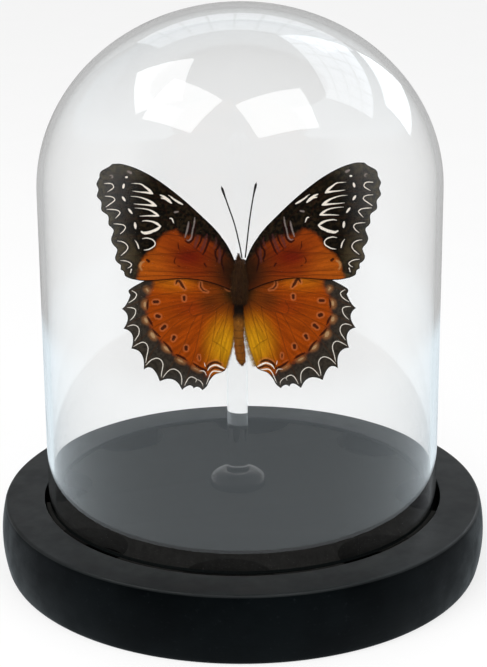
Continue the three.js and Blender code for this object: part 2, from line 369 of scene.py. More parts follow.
def joined(parts):
    """Several (points, faces) as one."""
    points, faces = [], []
    for some_points, some_faces in parts:
        start = len(points)
        points.extend(some_points)
        faces.extend(tuple(start + k for k in face) for face in some_faces)
    return points, faces


# Pieces of the case

def make_base(finish, lit_top_finish):
    """The turned base. Its flat top is painted greyer than its sides, as painted light with a little dust,
    and its recess is painted near black as painted shade.
    """
    middle = RING_TOP / 2
    inner = RECESS_RADIUS + 0.1

    def bulge(z):
        return BASE_RADIUS - (z - middle) ** 2 / (2 * BASE_SIDE_CURVE)
    corners = [(0, 0, 0), (bulge(0) - 0.2, 0, BASE_EDGE)]
    corners += [(bulge(z), z, 0) for z in np.linspace(1.2, RING_TOP - 1.2, 25)]
    corners += [(bulge(RING_TOP) - 0.2, RING_TOP, BASE_EDGE), (RECESS_RADIUS, RING_TOP, 0.35),
                (RECESS_RADIUS, RECESS_FLOOR, 0), (0, RECESS_FLOOR, 0)]
    points, faces = lathe(rounded(corners), 224)
    made = piece("base_turned", points, faces, finish, ["base"], sharp_deg=40)
    # The flat top takes the greyer finish: painted light on the top, with a little dust.
    second_finish(made, lit_top_finish, lambda p, n: p.z > RING_TOP - 0.6 and n.z > 0.5)
    # The recess walls and floor are painted near black without gloss: painted shade.
    second_finish(made, dull("recess_shade", rgb(1, 1, 1), rgb(5, 5, 5)),
                  lambda p, n: 1 < p.z < RING_TOP - 0.4 and math.hypot(p.x, p.y) < inner)


def make_deck(finish):
    """The board's outline with its round notches, raised to its thickness, with eased top edges."""
    radius = RECESS_RADIUS - DECK_GAP
    out = RECESS_RADIUS + NOTCH_CENTRE_OUT
    half = math.acos((radius ** 2 + out ** 2 - NOTCH_RADIUS ** 2) / (2 * radius * out))
    pitch = 2 * math.pi / NOTCH_COUNT
    outline = []
    for i in range(NOTCH_COUNT):
        middle = math.radians(NOTCH_FIRST_DEG - 90) + i * pitch
        centre = out * np.array((math.cos(middle), math.sin(middle)))
        corners = [radius * np.array((math.cos(a), math.sin(a))) for a in (middle - half, middle + half)]
        start, end = (math.atan2(*(corner - centre)[::-1]) for corner in corners)
        end = end - 2 * math.pi if end > start else end
        for angle in np.linspace(start, end, 29)[:-1]:
            outline.append(centre + NOTCH_RADIUS * np.array((math.cos(angle), math.sin(angle))))
        for angle in np.linspace(middle + half, middle + pitch - half, 9)[:-1]:
            outline.append(radius * np.array((math.cos(angle), math.sin(angle))))
    count = len(outline)
    low, high = DECK_LOW[2], DECK_HIGH[2]
    rings = [(1.0, low), (1.0, high - 0.35), (0.997, high - 0.08), (0.992, high)]
    points = [(x * size, y * size, z) for size, z in rings for x, y in outline]
    faces = []
    for ring in range(len(rings) - 1):
        faces += band(ring * count, (ring + 1) * count, count)
    faces.append(tuple(range(count))[::-1])
    faces.append(tuple(range(len(points) - count, len(points))))
    piece("deck_board", points, faces, finish, ["deck"], sharp_deg=35)


def make_dome(finish):
    """One blown shell: a wall that flares to its rounded rim, and a flattened round top."""
    rim = DOME_LOW[2]
    foot = rim + RIM_ROUNDING
    cap = DOME_HIGH[2] - DOME_SHOULDER

    def skin(inset):
        # Close rows beside the rim keep the wall's smooth shading straight down to it
        side = [(DOME_RADIUS + DOME_FLARE * (1 - t) - inset, foot + (DOME_SHOULDER - foot) * t)
                for t in (0, 0.003, *np.linspace(0.02, 1, 9))]
        for angle in np.linspace(0, math.pi / 2, 33)[1:-1]:
            side.append(((DOME_RADIUS - inset) * math.cos(angle),
                         DOME_SHOULDER + (cap - inset) * math.sin(angle)))
        side.append((0, DOME_SHOULDER + cap - inset))
        return side
    outer, inner = skin(0), skin(DOME_WALL)
    middle = DOME_RADIUS + DOME_FLARE - RIM_ROUNDING
    edge = [(middle - RIM_ROUNDING * math.cos(a), foot - RIM_ROUNDING * math.sin(a))
            for a in np.linspace(0, math.pi, 9)[1:-1]]
    points, faces = lathe(inner[::-1] + edge + outer, 192)
    made = piece("dome_glass_shell", points, faces, finish, ["glass_dome"])
    # The rim's faces are a matt ground edge, painted dark grey partly as painted shade of the groove it
    # stands in.
    second_finish(made, dull("ground_rim_painted_shade", rgb(14, 17, 17), rgb(30, 34, 34)), lambda p, n: p.z < foot - 0.05)
    see_through(made)


def make_stand(finish):
    """The rod, and its low foot with a socket that the rod stands in."""
    axis = (ROD_LOW + ROD_HIGH) / 2 * (1, 1, 0)
    radius = (ROD_HIGH[0] - ROD_LOW[0]) / 2
    top, bottom = ROD_HIGH[2], ROD_LOW[2]
    profile = rounded([(0, bottom, 0), (radius, bottom, 0.3), (radius, top, 0.4), (0, top, 0)])
    points, faces = lathe(profile, 72)
    rod = piece("rod_clear", points + axis, faces, finish, ["rod"], sharp_deg=50)
    foot_radius = (FOOT_HIGH[0] - FOOT_LOW[0]) / 2
    low, high = FOOT_LOW[2], FOOT_HIGH[2]
    socket = radius + 0.25
    lip = socket + 0.4
    edge = low + 1.6
    corners = [(0, low), (foot_radius - 0.9, low), (foot_radius - 0.25, low + 0.35)]
    for angle in np.linspace(0, math.pi / 2, 17):
        corners.append((lip + (foot_radius - lip) * math.cos(angle), edge + (high - edge) * math.sin(angle)))
    corners += [(socket + 0.1, high - 0.1), (socket, high - 0.45), (socket, low + 1), (0, low + 1)]
    points, faces = lathe(corners, 72)
    foot = piece("rod_foot_clear", points + axis, faces, finish, ["rod_foot"], sharp_deg=50)
    # The foot's bottom faces are a dark pad, painted near black partly as painted shade under the foot.
    second_finish(foot, dull("foot_pad_painted_shade", rgb(3, 3, 3), rgb(12, 13, 13)), lambda p, n: p.z < low + 0.3)
    see_through(rod)
    see_through(foot)


# Wings: outlines as in the solids, places in (out, up) millimetres

FORE_OUTLINE = {
    "start": (1.2, 73.5),
    "front": [(2.0, 76.0), (3.5, 79.3), (5.0, 81.7), (7.5, 84.9), (10, 87.5), (15, 92.4), (20, 96.8),
              (25, 100.6), (30, 103.4), (34.5, 104.9), (37.4, 105.0)],
    "edge": [(38.6, 104.1), (40.8, 102.9), (41.4, 101.8), (41.5, 100.9), (42.4, 99.0), (41.9, 97.3),
             (42.4, 95.3), (41.2, 93.5), (41.2, 91.0), (39.3, 89.2), (39.2, 86.6), (37.8, 85.0),
             (38.6, 82.3), (38.1, 80.6), (36.9, 79.0), (37.6, 76.6), (37.1, 75.2), (36.0, 74.2),
             (36.0, 72.9), (35.1, 72.2), (34.7, 70.8), (33.0, 69.9)],
    "back": [(29.5, 69.2), (24.0, 69.3), (19.0, 69.7), (14.0, 69.5), (9.0, 68.4), (4.0, 66.4), (0.8, 64.8)],
}
HIND_OUTLINE = {
    "start": (0.8, 71.5),
    "front": [(8.0, 73.5), (16.0, 73.6), (23.0, 71.6), (29.0, 69.0), (33.2, 66.7), (33.9, 65.7),
              (33.4, 64.6)],
    "teeth": [((34.7, 61.8), (36.1, 60.3)), ((34.4, 57.6), (35.8, 54.0)), ((33.2, 51.9), (33.6, 47.5)),
              ((30.5, 45.6), (30.0, 40.7)), ((27.3, 41.0), (25.1, 36.8)), ((21.0, 37.3), (18.3, 33.9)),
              ((16.0, 35.3), (14.7, 34.3)), ((13.4, 34.8), (12.0, 33.7))],
    "tail": [(10.6, 35.0), (9.7, 36.8), (8.2, 38.6), (6.2, 39.4), (5.0, 40.0)],
    "inner": [(4.5, 41.0), (3.6, 44.0), (2.7, 47.3), (2.2, 50.0), (1.6, 54.0), (0.8, 62.0)],
}
# How each side is set: its direction, each pair's lean about a place, and the length of its fringe
SETTING = {
    "left": dict(side=-1, forewing=0.0, hindwing=0.0, fringe=0.7),
    "right": dict(side=1, forewing=0.018, hindwing=0.045, fringe=1.5),
}
FORE_ABOUT, HIND_ABOUT = (0, 70), (18, 38.6)

# Marks: (half-width at the first point, at the last point, places)
FORE_WHITE = [
    (0.16, 0.12, [(40, 99.1), (38.5, 99.15), (37.7, 98.9), (37.3, 98.1), (37.7, 97.5), (39.2, 96.6)]),
    (0.12, 0.16, [(40, 95.3), (38.5, 95.2), (37.5, 94.85), (37.1, 94.15), (37.7, 93.5), (38.85, 92.7),
                  (39.8, 92)]),
    (0.14, 0.14, [(39.6, 91.3), (37.7, 91.2), (36.35, 90.9), (35.7, 90.2), (36.15, 89.5), (37.1, 88.5)]),
    (0.12, 0.14, [(37.7, 86.85), (36.15, 86.75), (34.8, 86.45), (34.2, 85.7), (34.7, 84.85), (35.8, 83.9)]),
    (0.13, 0.13, [(36.7, 81.7), (35.4, 81.5), (34.2, 80.8), (33.65, 79.65), (34.2, 78.6), (35.2, 77.7),
                  (35.8, 77.2)]),
    (0.12, 0.16, [(36, 75.7), (34.4, 75.5), (33.3, 75), (32.7, 74.4), (33.1, 73.7), (33.85, 73.3)]),
    (0.17, 0.12, [(32.8, 72.9), (33.1, 71.8)]),
    (0.34, 0.4, [(34.2, 98.9), (34.5, 97.7)]),
    (0.42, 0.34, [(34.8, 95), (34.05, 93.8)]),
    (0.38, 0.3, [(33.1, 91.3), (32.1, 89.9)]),
    (0.42, 0.34, [(31.35, 87.1), (31.2, 85.3)]),
    (0.12, 0.3, [(31.5, 81.9), (30.8, 80.8), (30.4, 79.3)]),
    (0.3, 0.3, [(33.5, 101.0), (33.3, 101.0)]),
    (0.09, 0.5, [(32, 99.15), (29.4, 98.95), (28.1, 98.1), (26.9, 97.1), (25.9, 95.95)]),
    (0.4, 0.11, [(25.9, 95.95), (27.7, 96.3), (29.6, 96.5), (31.7, 96.8)]),
    (0.09, 0.5, [(32.3, 95.2), (30.2, 95), (28.1, 94.35), (26.5, 93.5), (24.9, 92.2)]),
    (0.4, 0.1, [(24.9, 92.2), (27.3, 92.5), (29.6, 92.7), (31.5, 92.9)]),
    (0.09, 0.42, [(31.2, 91.6), (28.8, 91.4), (26.7, 90.9), (25.2, 90), (24.2, 89.15)]),
    (0.34, 0.12, [(24.2, 89.15), (27.3, 89.2), (29.8, 89.1)]),
    (0.16, 0.44, [(29.15, 87.55), (28.1, 87.7), (26.15, 87.4), (24.8, 86.8), (23.7, 86.0)]),
    (0.42, 0.36, [(23.7, 86.0), (24.6, 85.2), (25.6, 84.7), (26.9, 84.25), (28.5, 84), (29.5, 84.4)]),
    (0.16, 0.16, [(29.2, 82.35), (27.9, 82.55), (26.35, 82.1), (25.5, 81.2), (25.6, 80.2), (26.5, 79.5),
                  (27.5, 79), (28.85, 78.8)]),
    (0.3, 0.42, [(23.6, 95.5), (22.6, 95.0), (21.4, 94.1), (20.3, 93.0)]),
    (0.26, 0.16, [(23.3, 94.6), (22.2, 94.3), (21.0, 93.3)]),
    (0.24, 0.36, [(20.4, 94.7), (19.2, 93.9), (18, 93.1), (17, 92.55)]),
    (0.09, 0.09, [(21.2, 95.4), (19.8, 94.6)]),
    (0.24, 0.16, [(20.9, 88.4), (20.3, 88.25), (19.75, 86.9)]),
]
FORE_LILAC = [
    (0.2, 0.2, [(38.4, 101.6), (37.7, 101.5), (37.5, 101), (38, 100.7)]),
    (0.3, 0.4, [(32.9, 102.7), (32.1, 102.3)]),
    (0.3, 0.24, [(19.3, 90.2), (18.4, 90.35)]),
    (0.24, 0.2, [(13.45, 88.5), (13.7, 86.4), (14.1, 85), (14.5, 82.9), (14.9, 82.0), (15.6, 81.6),
                 (16.0, 81.9)]),
    (0.3, 0.24, [(15.3, 87.2), (15.6, 85.6), (16.0, 84.0), (16.5, 82.6)]),
]
FORE_DUSK = [
    (0.56, 0.38, [(12.6, 82.9), (13.2, 81), (13.7, 79.4)]),
    (0.45, 0.41, [(9.9, 83.2), (10.5, 81.2), (11.2, 79.4), (11.9, 78.2)]),
    (0.26, 0.22, [(7.3, 82.4), (7.1, 81.2), (7.5, 80.1), (8.1, 79)]),
    (0.52, 0.38, [(6.2, 79.2), (6.1, 77), (6.4, 74.6)]),
]
FORE_DARK = [
    (0.27, 0.35, [(13.1, 87.4), (13.5, 84.8), (14.0, 82.4), (14.6, 81.5), (15.5, 81.0), (16.5, 81.6)]),
    (0.39, 0.39, [(14.8, 87), (15.0, 85), (15.4, 83.2)]),
    (0.35, 0.23, [(11.2, 83.4), (11.8, 81.4), (12.5, 80.1), (13.2, 79)]),
    (0.43, 0.28, [(8.9, 83), (9.6, 80.9), (10.1, 79.5), (10.7, 78.1), (11.3, 77.2)]),
    (0.39, 0.28, [(6.3, 81.5), (6.6, 79.6), (7.4, 78.3), (7.4, 76.8), (7.0, 75.7), (7.2, 74.8)]),
    (0.35, 0.23, [(4.6, 79.6), (5.0, 77.5), (5.5, 76.2), (5.6, 74.6), (5.2, 73), (4.9, 71.6)]),
    (0.19, 0.14, [(18.6, 81.2), (18.5, 79.6), (18.0, 78.3)]),
    (0.16, 0.16, [(19.4, 76.4), (19.9, 75.1), (19.5, 74.3)]),
    (0.12, 0.16, [(18.9, 73.9), (18.3, 73.6)]),
    (0.39, 0.43, [(28.0, 75.7), (27.5, 75.3)]),
    (0.27, 0.16, [(10.8, 74.4), (10.2, 73.4)]),
]
FORE_TAN = [
    (0.42, 0.3, [(29.0, 75.2), (29.8, 74.8), (30.2, 73.6), (29.7, 72.6)]),
]
FORE_VEINS = [
    [(2.5, 75.5), (5, 79.8), (9, 84.9), (14, 90.2), (20, 95.6), (26, 100.1), (31, 102.9)],
    [(3, 74), (8, 81), (13, 86.4), (18, 90.8), (22.5, 93.6), (29, 98.4), (35, 101.9), (40.8, 102.5)],
    [(22.5, 93.9), (28, 97.6), (33, 99.9), (37, 100.3), (41.3, 100.4)],
    [(22.2, 92.6), (27, 95.1), (32, 96.2), (37, 96.3), (42, 96)],
    [(21.8, 90.6), (27, 91.9), (32, 92.3), (37, 92), (41.2, 91.6)],
    [(20.8, 87.6), (26, 88.4), (31, 88.3), (36, 87.8), (39.2, 87.4)],
    [(17, 83), (22, 83.6), (27, 83.4), (33, 83), (38.2, 83.1)],
    [(12.6, 78.4), (18, 77.7), (24, 77.6), (30, 77.2), (37.4, 77)],
    [(3, 72.6), (7, 74.9), (12.6, 78.4), (17, 83), (20.8, 87.6), (22, 91), (22.5, 93.7)],
    [(3, 71), (9, 71.9), (15, 71.6), (21, 72), (27, 72.3), (35, 72.3)],
    [(3, 69.6), (9, 70.5), (16, 70.4), (23, 70.9), (30, 70.6), (34, 70.4)],
]
FORE_ORANGE = [(1.5, 74.5), (4.4, 77.4), (7.5, 80.6), (11, 82.6), (14.5, 83.2), (17.3, 83.6), (19, 84.9),
               (21.2, 84.4), (23, 83.4), (24.6, 81.6), (25.6, 79.3), (27.4, 78.2), (29.2, 76.4),
               (30.2, 74.4), (30.6, 72), (31.2, 70.2), (29.5, 68), (14, 68), (1, 62)]

HIND_WHITE = [
    (0.13, 0.11, [(32.9, 66), (31.9, 65.4), (31.5, 64.7), (32, 63.6), (33, 62.8), (34, 62.2)]),
    (0.12, 0.11, [(34.4, 60.75), (32.9, 60.6), (32.1, 60.2), (31.9, 59.5), (32.2, 58.4), (32.9, 57.4),
                  (33.75, 56.6)]),
    (0.12, 0.11, [(34.5, 54.7), (33.4, 55.1), (32.3, 55.1), (31.4, 54.5), (31, 53.4), (31.25, 52),
                  (31.9, 51), (32.5, 50)]),
    (0.12, 0.11, [(32.9, 48.2), (31.4, 49.1), (30, 49.6), (29, 49.1), (28.5, 48), (28.5, 47), (28.9, 45.2),
                  (29.3, 43)]),
    (0.12, 0.11, [(29.3, 42.1), (27.9, 43.6), (26.8, 44.2), (25.7, 44.4), (24.6, 43.8), (24, 42.5),
                  (24.2, 40.9), (24.5, 39.5), (24.6, 38.25)]),
    (0.12, 0.11, [(24.1, 38.1), (22.9, 39.7), (21.8, 40.6), (20.7, 40.8), (19.5, 40.2), (18.6, 39),
                  (18.3, 37.4), (18.4, 35.6)]),
    (0.11, 0.11, [(17.5, 35.3), (16.8, 36.8), (16.1, 37.8), (15.2, 38.1), (14.3, 37.7), (13.75, 37.2),
                  (14.1, 36.3)]),
    (0.11, 0.09, [(13.5, 37.2), (12.7, 36.8), (12, 35.9), (11.8, 35)]),
    (0.11, 0.26, [(10.8, 35.6), (10, 37.7), (9.4, 39.1), (8.4, 39.9), (6.8, 39.75), (5.6, 39.6)]),
    (0.2, 0.3, [(10.3, 40.1), (9.7, 41.1), (8.9, 41.6), (7.7, 41.9), (6.25, 41.3), (5.2, 40.7)]),
    (0.12, 0.11, [(12.9, 40), (11.4, 39.9), (10.7, 38.6)]),
    (0.09, 0.11, [(11.3, 42.7), (11.0, 41.4)]),
]
HIND_DARK = [
    (0.5, 0.5, [(26.2, 62.4), (25.2, 62.4)]),
    (0.62, 0.6, [(25.4, 57.9), (24.9, 57.7)]),
    (0.5, 0.6, [(24.0, 53.8), (23.2, 54.5)]),
    (0.6, 0.45, [(20.4, 51.0), (20.7, 50.3)]),
    (0.55, 0.5, [(16.8, 47.8), (16.8, 47.1)]),
    (0.3, 0.2, [(12.9, 45), (12.8, 43.6)]),
    (0.36, 0.4, [(28.0, 62.9), (28.3, 61.6), (28.3, 60.2)]),
    (0.38, 0.34, [(28.4, 57.7), (27.6, 56.2), (26.9, 54.8)]),
    (0.34, 0.36, [(26.9, 53.6), (25.8, 52.2), (24.6, 51.2)]),
    (0.3, 0.56, [(23.7, 49.7), (22.3, 48.1), (21.2, 46.3)]),
    (0.42, 0.34, [(19.9, 45.5), (18.3, 44.7), (16.6, 43.5)]),
    (0.36, 0.4, [(14.7, 42.6), (13.0, 41.2), (11.5, 40.5), (10.5, 40.1)]),
    (0.4, 0.5, [(19.5, 68.0), (19.0, 69.0), (18.2, 68.6), (17.7, 67.6), (16.9, 66.5)]),
    (0.48, 0.4, [(17.1, 63.8), (17.1, 63.0)]),
    (0.3, 0.2, [(12, 68.4), (12, 67), (11.2, 65.9), (10.0, 65.4)]),
    (0.5, 0.4, [(9.9, 40.3), (10.2, 41.4), (9.2, 42.4), (7.7, 42.8), (6.0, 42.1)]),
    (0.3, 0.44, [(9.6, 39.8), (8.6, 40.8), (7.2, 40.9), (5.2, 40.1)]),
    (0.34, 0.3, [(4.4, 66.6), (3.2, 65.8)]),
]
HIND_TAN = [
    (0.6, 0.5, [(28.4, 66.4), (28.0, 65.8)]),
    (0.7, 0.7, [(29.0, 62.6), (29.1, 60.6)]),
    (0.8, 0.8, [(29.2, 57.4), (28.6, 55.8)]),
    (0.9, 0.8, [(27.4, 52.6), (26.4, 50.8)]),
    (0.8, 0.7, [(23.6, 48.2), (22.0, 46.6)]),
    (0.6, 0.6, [(19.6, 44.0), (17.6, 42.8)]),
    (0.5, 0.4, [(14.8, 41.2), (12.6, 39.9)]),
]
HIND_VEINS = [
    [(4, 69), (11, 70.4), (19, 69.6), (27, 67.6), (33.4, 65.6)],
    [(4, 66.4), (12, 65.7), (20, 65.2), (28, 63.7), (35.6, 60.5)],
    [(4, 65.2), (9, 63.9), (14.5, 62.3), (20, 61.2), (26, 59.6), (31, 57.4), (35.5, 54.3)],
    [(14.5, 62.3), (15.6, 59.6), (14.8, 57.8)],
    [(15.4, 60.2), (21, 57.2), (26, 54.6), (30, 51.2), (33.3, 47.8)],
    [(4, 62.5), (8.8, 59.3), (14.8, 57.8), (17.9, 56.6), (20.2, 54.9), (24, 50.8), (27.5, 46), (29.8, 41)],
    [(13.4, 57.9), (15.4, 54), (18, 47.5), (21.5, 42), (24.9, 37.2)],
    [(11.4, 58.4), (12.8, 52), (14.2, 46), (16, 40), (18.1, 34.4)],
    [(7.2, 60.2), (8.1, 53), (9.6, 46), (11.2, 40), (12, 34.2)],
    [(3.4, 62), (4.6, 56), (5.8, 50), (6.4, 45), (6.2, 40)],
    [(5.2, 56.6), (7.4, 51.8)],
    [(8.4, 49.6), (6.2, 48.2), (4.2, 46.3)],
]
HIND_ORANGE = [(0, 75), (12, 76), (24.5, 72.4), (25.8, 69.6), (26.4, 67), (27.4, 64.6), (28.5, 62.2),
               (28.2, 59.2), (28.0, 56.6), (26.4, 53), (24.2, 50.0), (22.4, 47.4), (19.4, 45.0), (16.6, 43),
               (13.8, 41), (11.2, 40.4), (9.7, 38.4), (4, 38.4), (0, 44)]


def outline_of(shape):
    """The wing's closed outline, near GRID_STEP apart, from its smooth stretches and its teeth."""
    line = [np.array([shape["start"]], float)]
    last = shape["start"]
    for key in ("front", "edge", "teeth", "tail", "inner", "back"):
        if key == "teeth" and key in shape:
            for hollow, tip in shape[key]:
                a, h, b = (np.array(p, float) for p in (last, hollow, tip))
                control = 2 * h - (a + b) / 2
                count = max(6, int(np.linalg.norm(b - a) / GRID_STEP))
                t = (np.arange(1, count + 1) / count)[:, None]
                line.append((1 - t) ** 2 * a + 2 * t * (1 - t) * control + t ** 2 * b)
                last = tip
        elif key in shape:
            line.append(catmull([last, *shape[key]], GRID_STEP)[1:])
            last = shape[key][-1]
    return np.vstack(line)


def inside(points, polygon):
    """Which points lie inside a closed polygon."""
    x, y = points[:, 0], points[:, 1]
    within = np.zeros(len(points), bool)
    for (x0, y0), (x1, y1) in zip(polygon, np.roll(polygon, -1, axis=0)):
        if y0 != y1:
            crosses = ((y0 > y) != (y1 > y)) & (x < (x1 - x0) * (y - y0) / (y1 - y0) + x0)
            within ^= crosses
    return within


def reach(points, line, widths=None):
    """Each point's distance to a line, less the line's half-width where it is nearest."""
    best = np.full(len(points), np.inf)
    widths = np.zeros(len(line)) if widths is None else widths
    for k in range(len(line) - 1):
        a, along = line[k], line[k + 1] - line[k]
        t = np.clip((points - a) @ along / max(along @ along, 1e-9), 0, 1)
        gap = np.hypot(*(points - a - t[:, None] * along).T) - (widths[k] + t * (widths[k + 1] - widths[k]))
        best = np.minimum(best, gap)
    return best


def stroke(start, end, places):
    """A mark's middle line and half-widths. It swells to its thicker end, and a long one thins at both."""
    line = catmull(places, 0.3)
    along = np.append(0, np.cumsum(np.hypot(*np.diff(line, axis=0).T)))
    t = along / along[-1]
    widths = start + (end - start) * (t ** 2 if end > start else 1 - (1 - t) ** 2)
    if along[-1] > MARK_TAPER:
        from_end = np.minimum(along, along[-1] - along)
        widths = widths * np.interp(from_end / min(MARK_TAPER, along[-1] / 3), (0, 1), (0.45, 1))
    return line, widths


def nearest(points, strokes):
    """Each point's distance to the nearest mark's edge, below zero inside it."""
    return np.min([reach(points, *stroke(*mark)) for mark in strokes], axis=0)


def wing_plan(shape, marks, veins, zone):
    """A wing's flat net of triangles, with points along veins and thin marks, and a field for each kind."""
    outline = outline_of(shape)
    loop = np.vstack([outline, outline[:1]])
    low, high = outline.min(0) - 1, outline.max(0) + 1
    rows = np.arange(low[1], high[1], GRID_STEP * math.sqrt(3) / 2)
    columns = np.arange(low[0], high[0], GRID_STEP)
    net = np.array([(x + (i % 2) * GRID_STEP / 2, y) for i, y in enumerate(rows) for x in columns])
    net = net[inside(net, outline)]
    net = net[reach(net, loop) > GRID_STEP * 0.45]
    thin = [places for start, end, places in marks["white"] if min(start, end) < THIN_MARK]
    for places in thin + veins:
        line = catmull(places, GRID_STEP)
        line = line[inside(line, outline)]
        if len(line) > 1:
            line = line[reach(line, loop) > GRID_STEP * 0.4]
        for point in line:
            net = net[np.hypot(*(net - point).T) > GRID_STEP * 0.42]
            net = np.vstack([net, point])
    points = np.vstack([outline, net])
    ring = list(range(len(outline)))
    flat, _, faces, *_ = delaunay_2d_cdt([Vector(p) for p in points], [], [ring], 1, 1e-7)
    flat = np.array([tuple(p) for p in flat])
    fields = {kind: nearest(flat, strokes) for kind, strokes in marks.items()}
    fields["vein"] = np.min([reach(flat, catmull(v, 0.5)) for v in veins], axis=0)
    fields["rim"] = reach(flat, loop)
    border = np.vstack([catmull(zone, 0.5), [zone[0]]])
    fields["orange"] = reach(flat, border) * np.where(inside(flat, border), 1, -1)
    fields["out"], fields["up"] = flat[:, 0], flat[:, 1]
    return flat, np.array(faces), fields


def lie(x, z):
    """How far a dry wing stands off its flat plane: a slight bow and a few soft waves, in millimetres."""
    out = np.abs(x)
    bow = 0.35 * (out / 40) ** 2
    wave = 0.1 * np.sin(x * 0.23 + z * 0.11) * np.clip(out / 12, 0, 1)
    return bow + wave + 0.05 * np.sin(z * 0.31 - x * 0.17)


def make_wing(wing, hand, plan, side, skew, about, plane, finishes):
    """A wing's front and back sheets and its rim, with raised veins and a fold between them."""
    flat, faces, fields = plan
    u, v = flat.T
    x = side * (u - skew * (v - about[1]))
    z = v - skew * (u - about[0]) + RING_TOP
    vein = np.exp(-(fields["vein"] / 0.16) ** 2)
    fold = 0.07 * np.clip(fields["vein"] / 2.2, 0, 1)
    middle = plane + lie(x, z - RING_TOP) + fold
    thick = SHEET_THICKNESS / 2 + 0.06 * vein
    thin = np.clip(fields["rim"] / 0.3, 0.35, 1)
    front = np.column_stack([x, middle - thick * thin, z])
    back = np.column_stack([x, middle + thick * thin, z])
    count = len(flat)
    edges = np.vstack([faces[:, [0, 1]], faces[:, [1, 2]], faces[:, [2, 0]]])
    _, first, uses = np.unique(np.sort(edges, axis=1), axis=0, return_index=True, return_counts=True)
    a, b = edges[first[uses == 1]].T
    rim = np.column_stack([b, a, a + count, b + count])
    front_faces = faces if side > 0 else faces[:, ::-1]
    every = [tuple(f) for f in front_faces] + [tuple(f) for f in front_faces[:, ::-1] + count]
    every += [tuple(f) for f in (rim if side > 0 else rim[:, ::-1])]
    made = piece(f"{wing}_{hand}_scaled", np.vstack([front, back]), every, finishes[0],
                 [f"{wing}_{hand}"])
    made.data.materials.append(finishes[1])
    faced = np.zeros(len(every), dtype=np.int32)
    faced[len(faces):2 * len(faces)] = 1
    made.data.polygons.foreach_set("material_index", faced)
    for key, values in fields.items():
        layer = made.data.attributes.new(key, "FLOAT", "POINT")
        layer.data.foreach_set("value", np.concatenate([values, values]).astype(np.float32))


# Soft patches in the wings' orange: centre (out, up), size each way, even core as a share of it, weight, tone
FORE_PATCHES = [
    ((29, 73), (15, 11), 0, 1, rgb(160, 76, 13)),
    ((14, 76.5), (12, 8), 0, 1, rgb(100, 26, 4)),
    ((16.5, 76.5), (5, 3), 0, 0.45, rgb(100, 18, 10)),
    ((13, 71.8), (9, 2.4), 0, 0.8, rgb(112, 38, 5)),
    ((1.5, 72), (13, 16), 0.15, 1, rgb(44, 21, 6)),
    ((9, 85.5), (14, 7), 0, 0.9, rgb(34, 15, 9)),
]
HIND_PATCHES = [
    ((20, 70.5), (12, 7), 0, 1, rgb(188, 103, 13)),
    ((15, 60.5), (9, 5), 0, 1, rgb(132, 48, 6)),
    ((4.5, 48), (9.5, 14), 0, 1, rgb(196, 138, 16)),
    ((9.5, 62), (6, 6.5), 0, 1, rgb(96, 42, 8)),
    ((2.5, 65), (8.5, 12), 0, 1, rgb(46, 32, 9)),
    ((9, 69), (8, 4.5), 0, 0.75, rgb(72, 37, 8)),
]
# The look of each kind of mark: tone, softness and raggedness of its edge, strength
FORE_LOOKS = {
    "dusk": (rgb(78, 42, 42), 0.3, 0.12, 0.6),
    "dark": (rgb(28, 6, 4), 0.16, 0.1, 0.9),
    "tan": (rgb(176, 128, 78), 0.35, 0.15, 0.75),
    "lilac": (rgb(132, 120, 116), 0.14, 0.1, 0.75),
    "white": (rgb(236, 226, 214), 0.09, 0.05, 0.92),
}
HIND_LOOKS = {
    "dark": (rgb(44, 12, 5), 0.2, 0.12, 0.92),
    "white": (rgb(240, 232, 220), 0.09, 0.05, 1.0),
}


def scales_normal(s):
    """Rows of tiny scales and soft creases."""
    rows = s.noise(5.0, 3, (1, 1, 2.2))
    creases = s.noise(0.35, 4)
    return s.bump(rows, 0.35, 0.03, s.bump(creases, 0.3, 0.1))


def patched(s, color, patches):
    """Lays soft oval patches over a colour, each as its table says."""
    for centre, size, core, weight, tone in patches:
        du = s.math("DIVIDE", s.less(s.field("out"), centre[0]), size[0])
        dv = s.math("DIVIDE", s.less(s.field("up"), centre[1]), size[1])
        color = s.mix(s.times(s.ramp(s.length(du, dv), 1.0, core), weight), color, tone)
    return color


def wavering(s, kind, amount, scale=0.8, detail=4):
    """A field with its edge moved in and out by noise."""
    return s.math("MULTIPLY_ADD", s.less(s.noise(scale, detail), 0.5), amount * 2, s.field(kind))


def marked(s, color, looks):
    """Lays each kind of mark over a colour: it has a tone, a softness, a raggedness and a strength."""
    for kind, (tone, soft, ragged, strength) in looks.items():
        mask = s.ramp(wavering(s, kind, ragged, 3.0, 2), soft, -soft)
        color = s.mix(s.times(mask, strength), color, tone)
    return color


def dusted(s, color):
    """Fine brightness grain, as from scales that lie at slightly different angles."""
    grain = s.ramp(s.noise(2.6, 4, (1, 1, 1.6)), 0.25, 0.75, 0.82, 1.16)
    return s.mix(1.0, color, grain, "MULTIPLY")


def streaked(s, color, root, across, low, high):
    """Brightness that runs in streaks out from the wing's root, across of them to a radian."""
    du, dv = s.less(s.field("out"), root[0]), s.less(s.field("up"), root[1])
    place = s.node("CombineXYZ")
    s.link(s.times(s.math("ARCTAN2", dv, du), across), place.inputs[0])
    s.link(s.times(s.length(du, dv), 0.12), place.inputs[1])
    streak = s.node("TexNoise")
    streak.inputs["Scale"].default_value = 1.0
    streak.inputs["Detail"].default_value = 3.0
    s.link(place.outputs[0], streak.inputs["Vector"])
    return s.mix(1.0, color, s.ramp(streak.outputs["Fac"], 0.3, 0.7, low, high), "MULTIPLY")


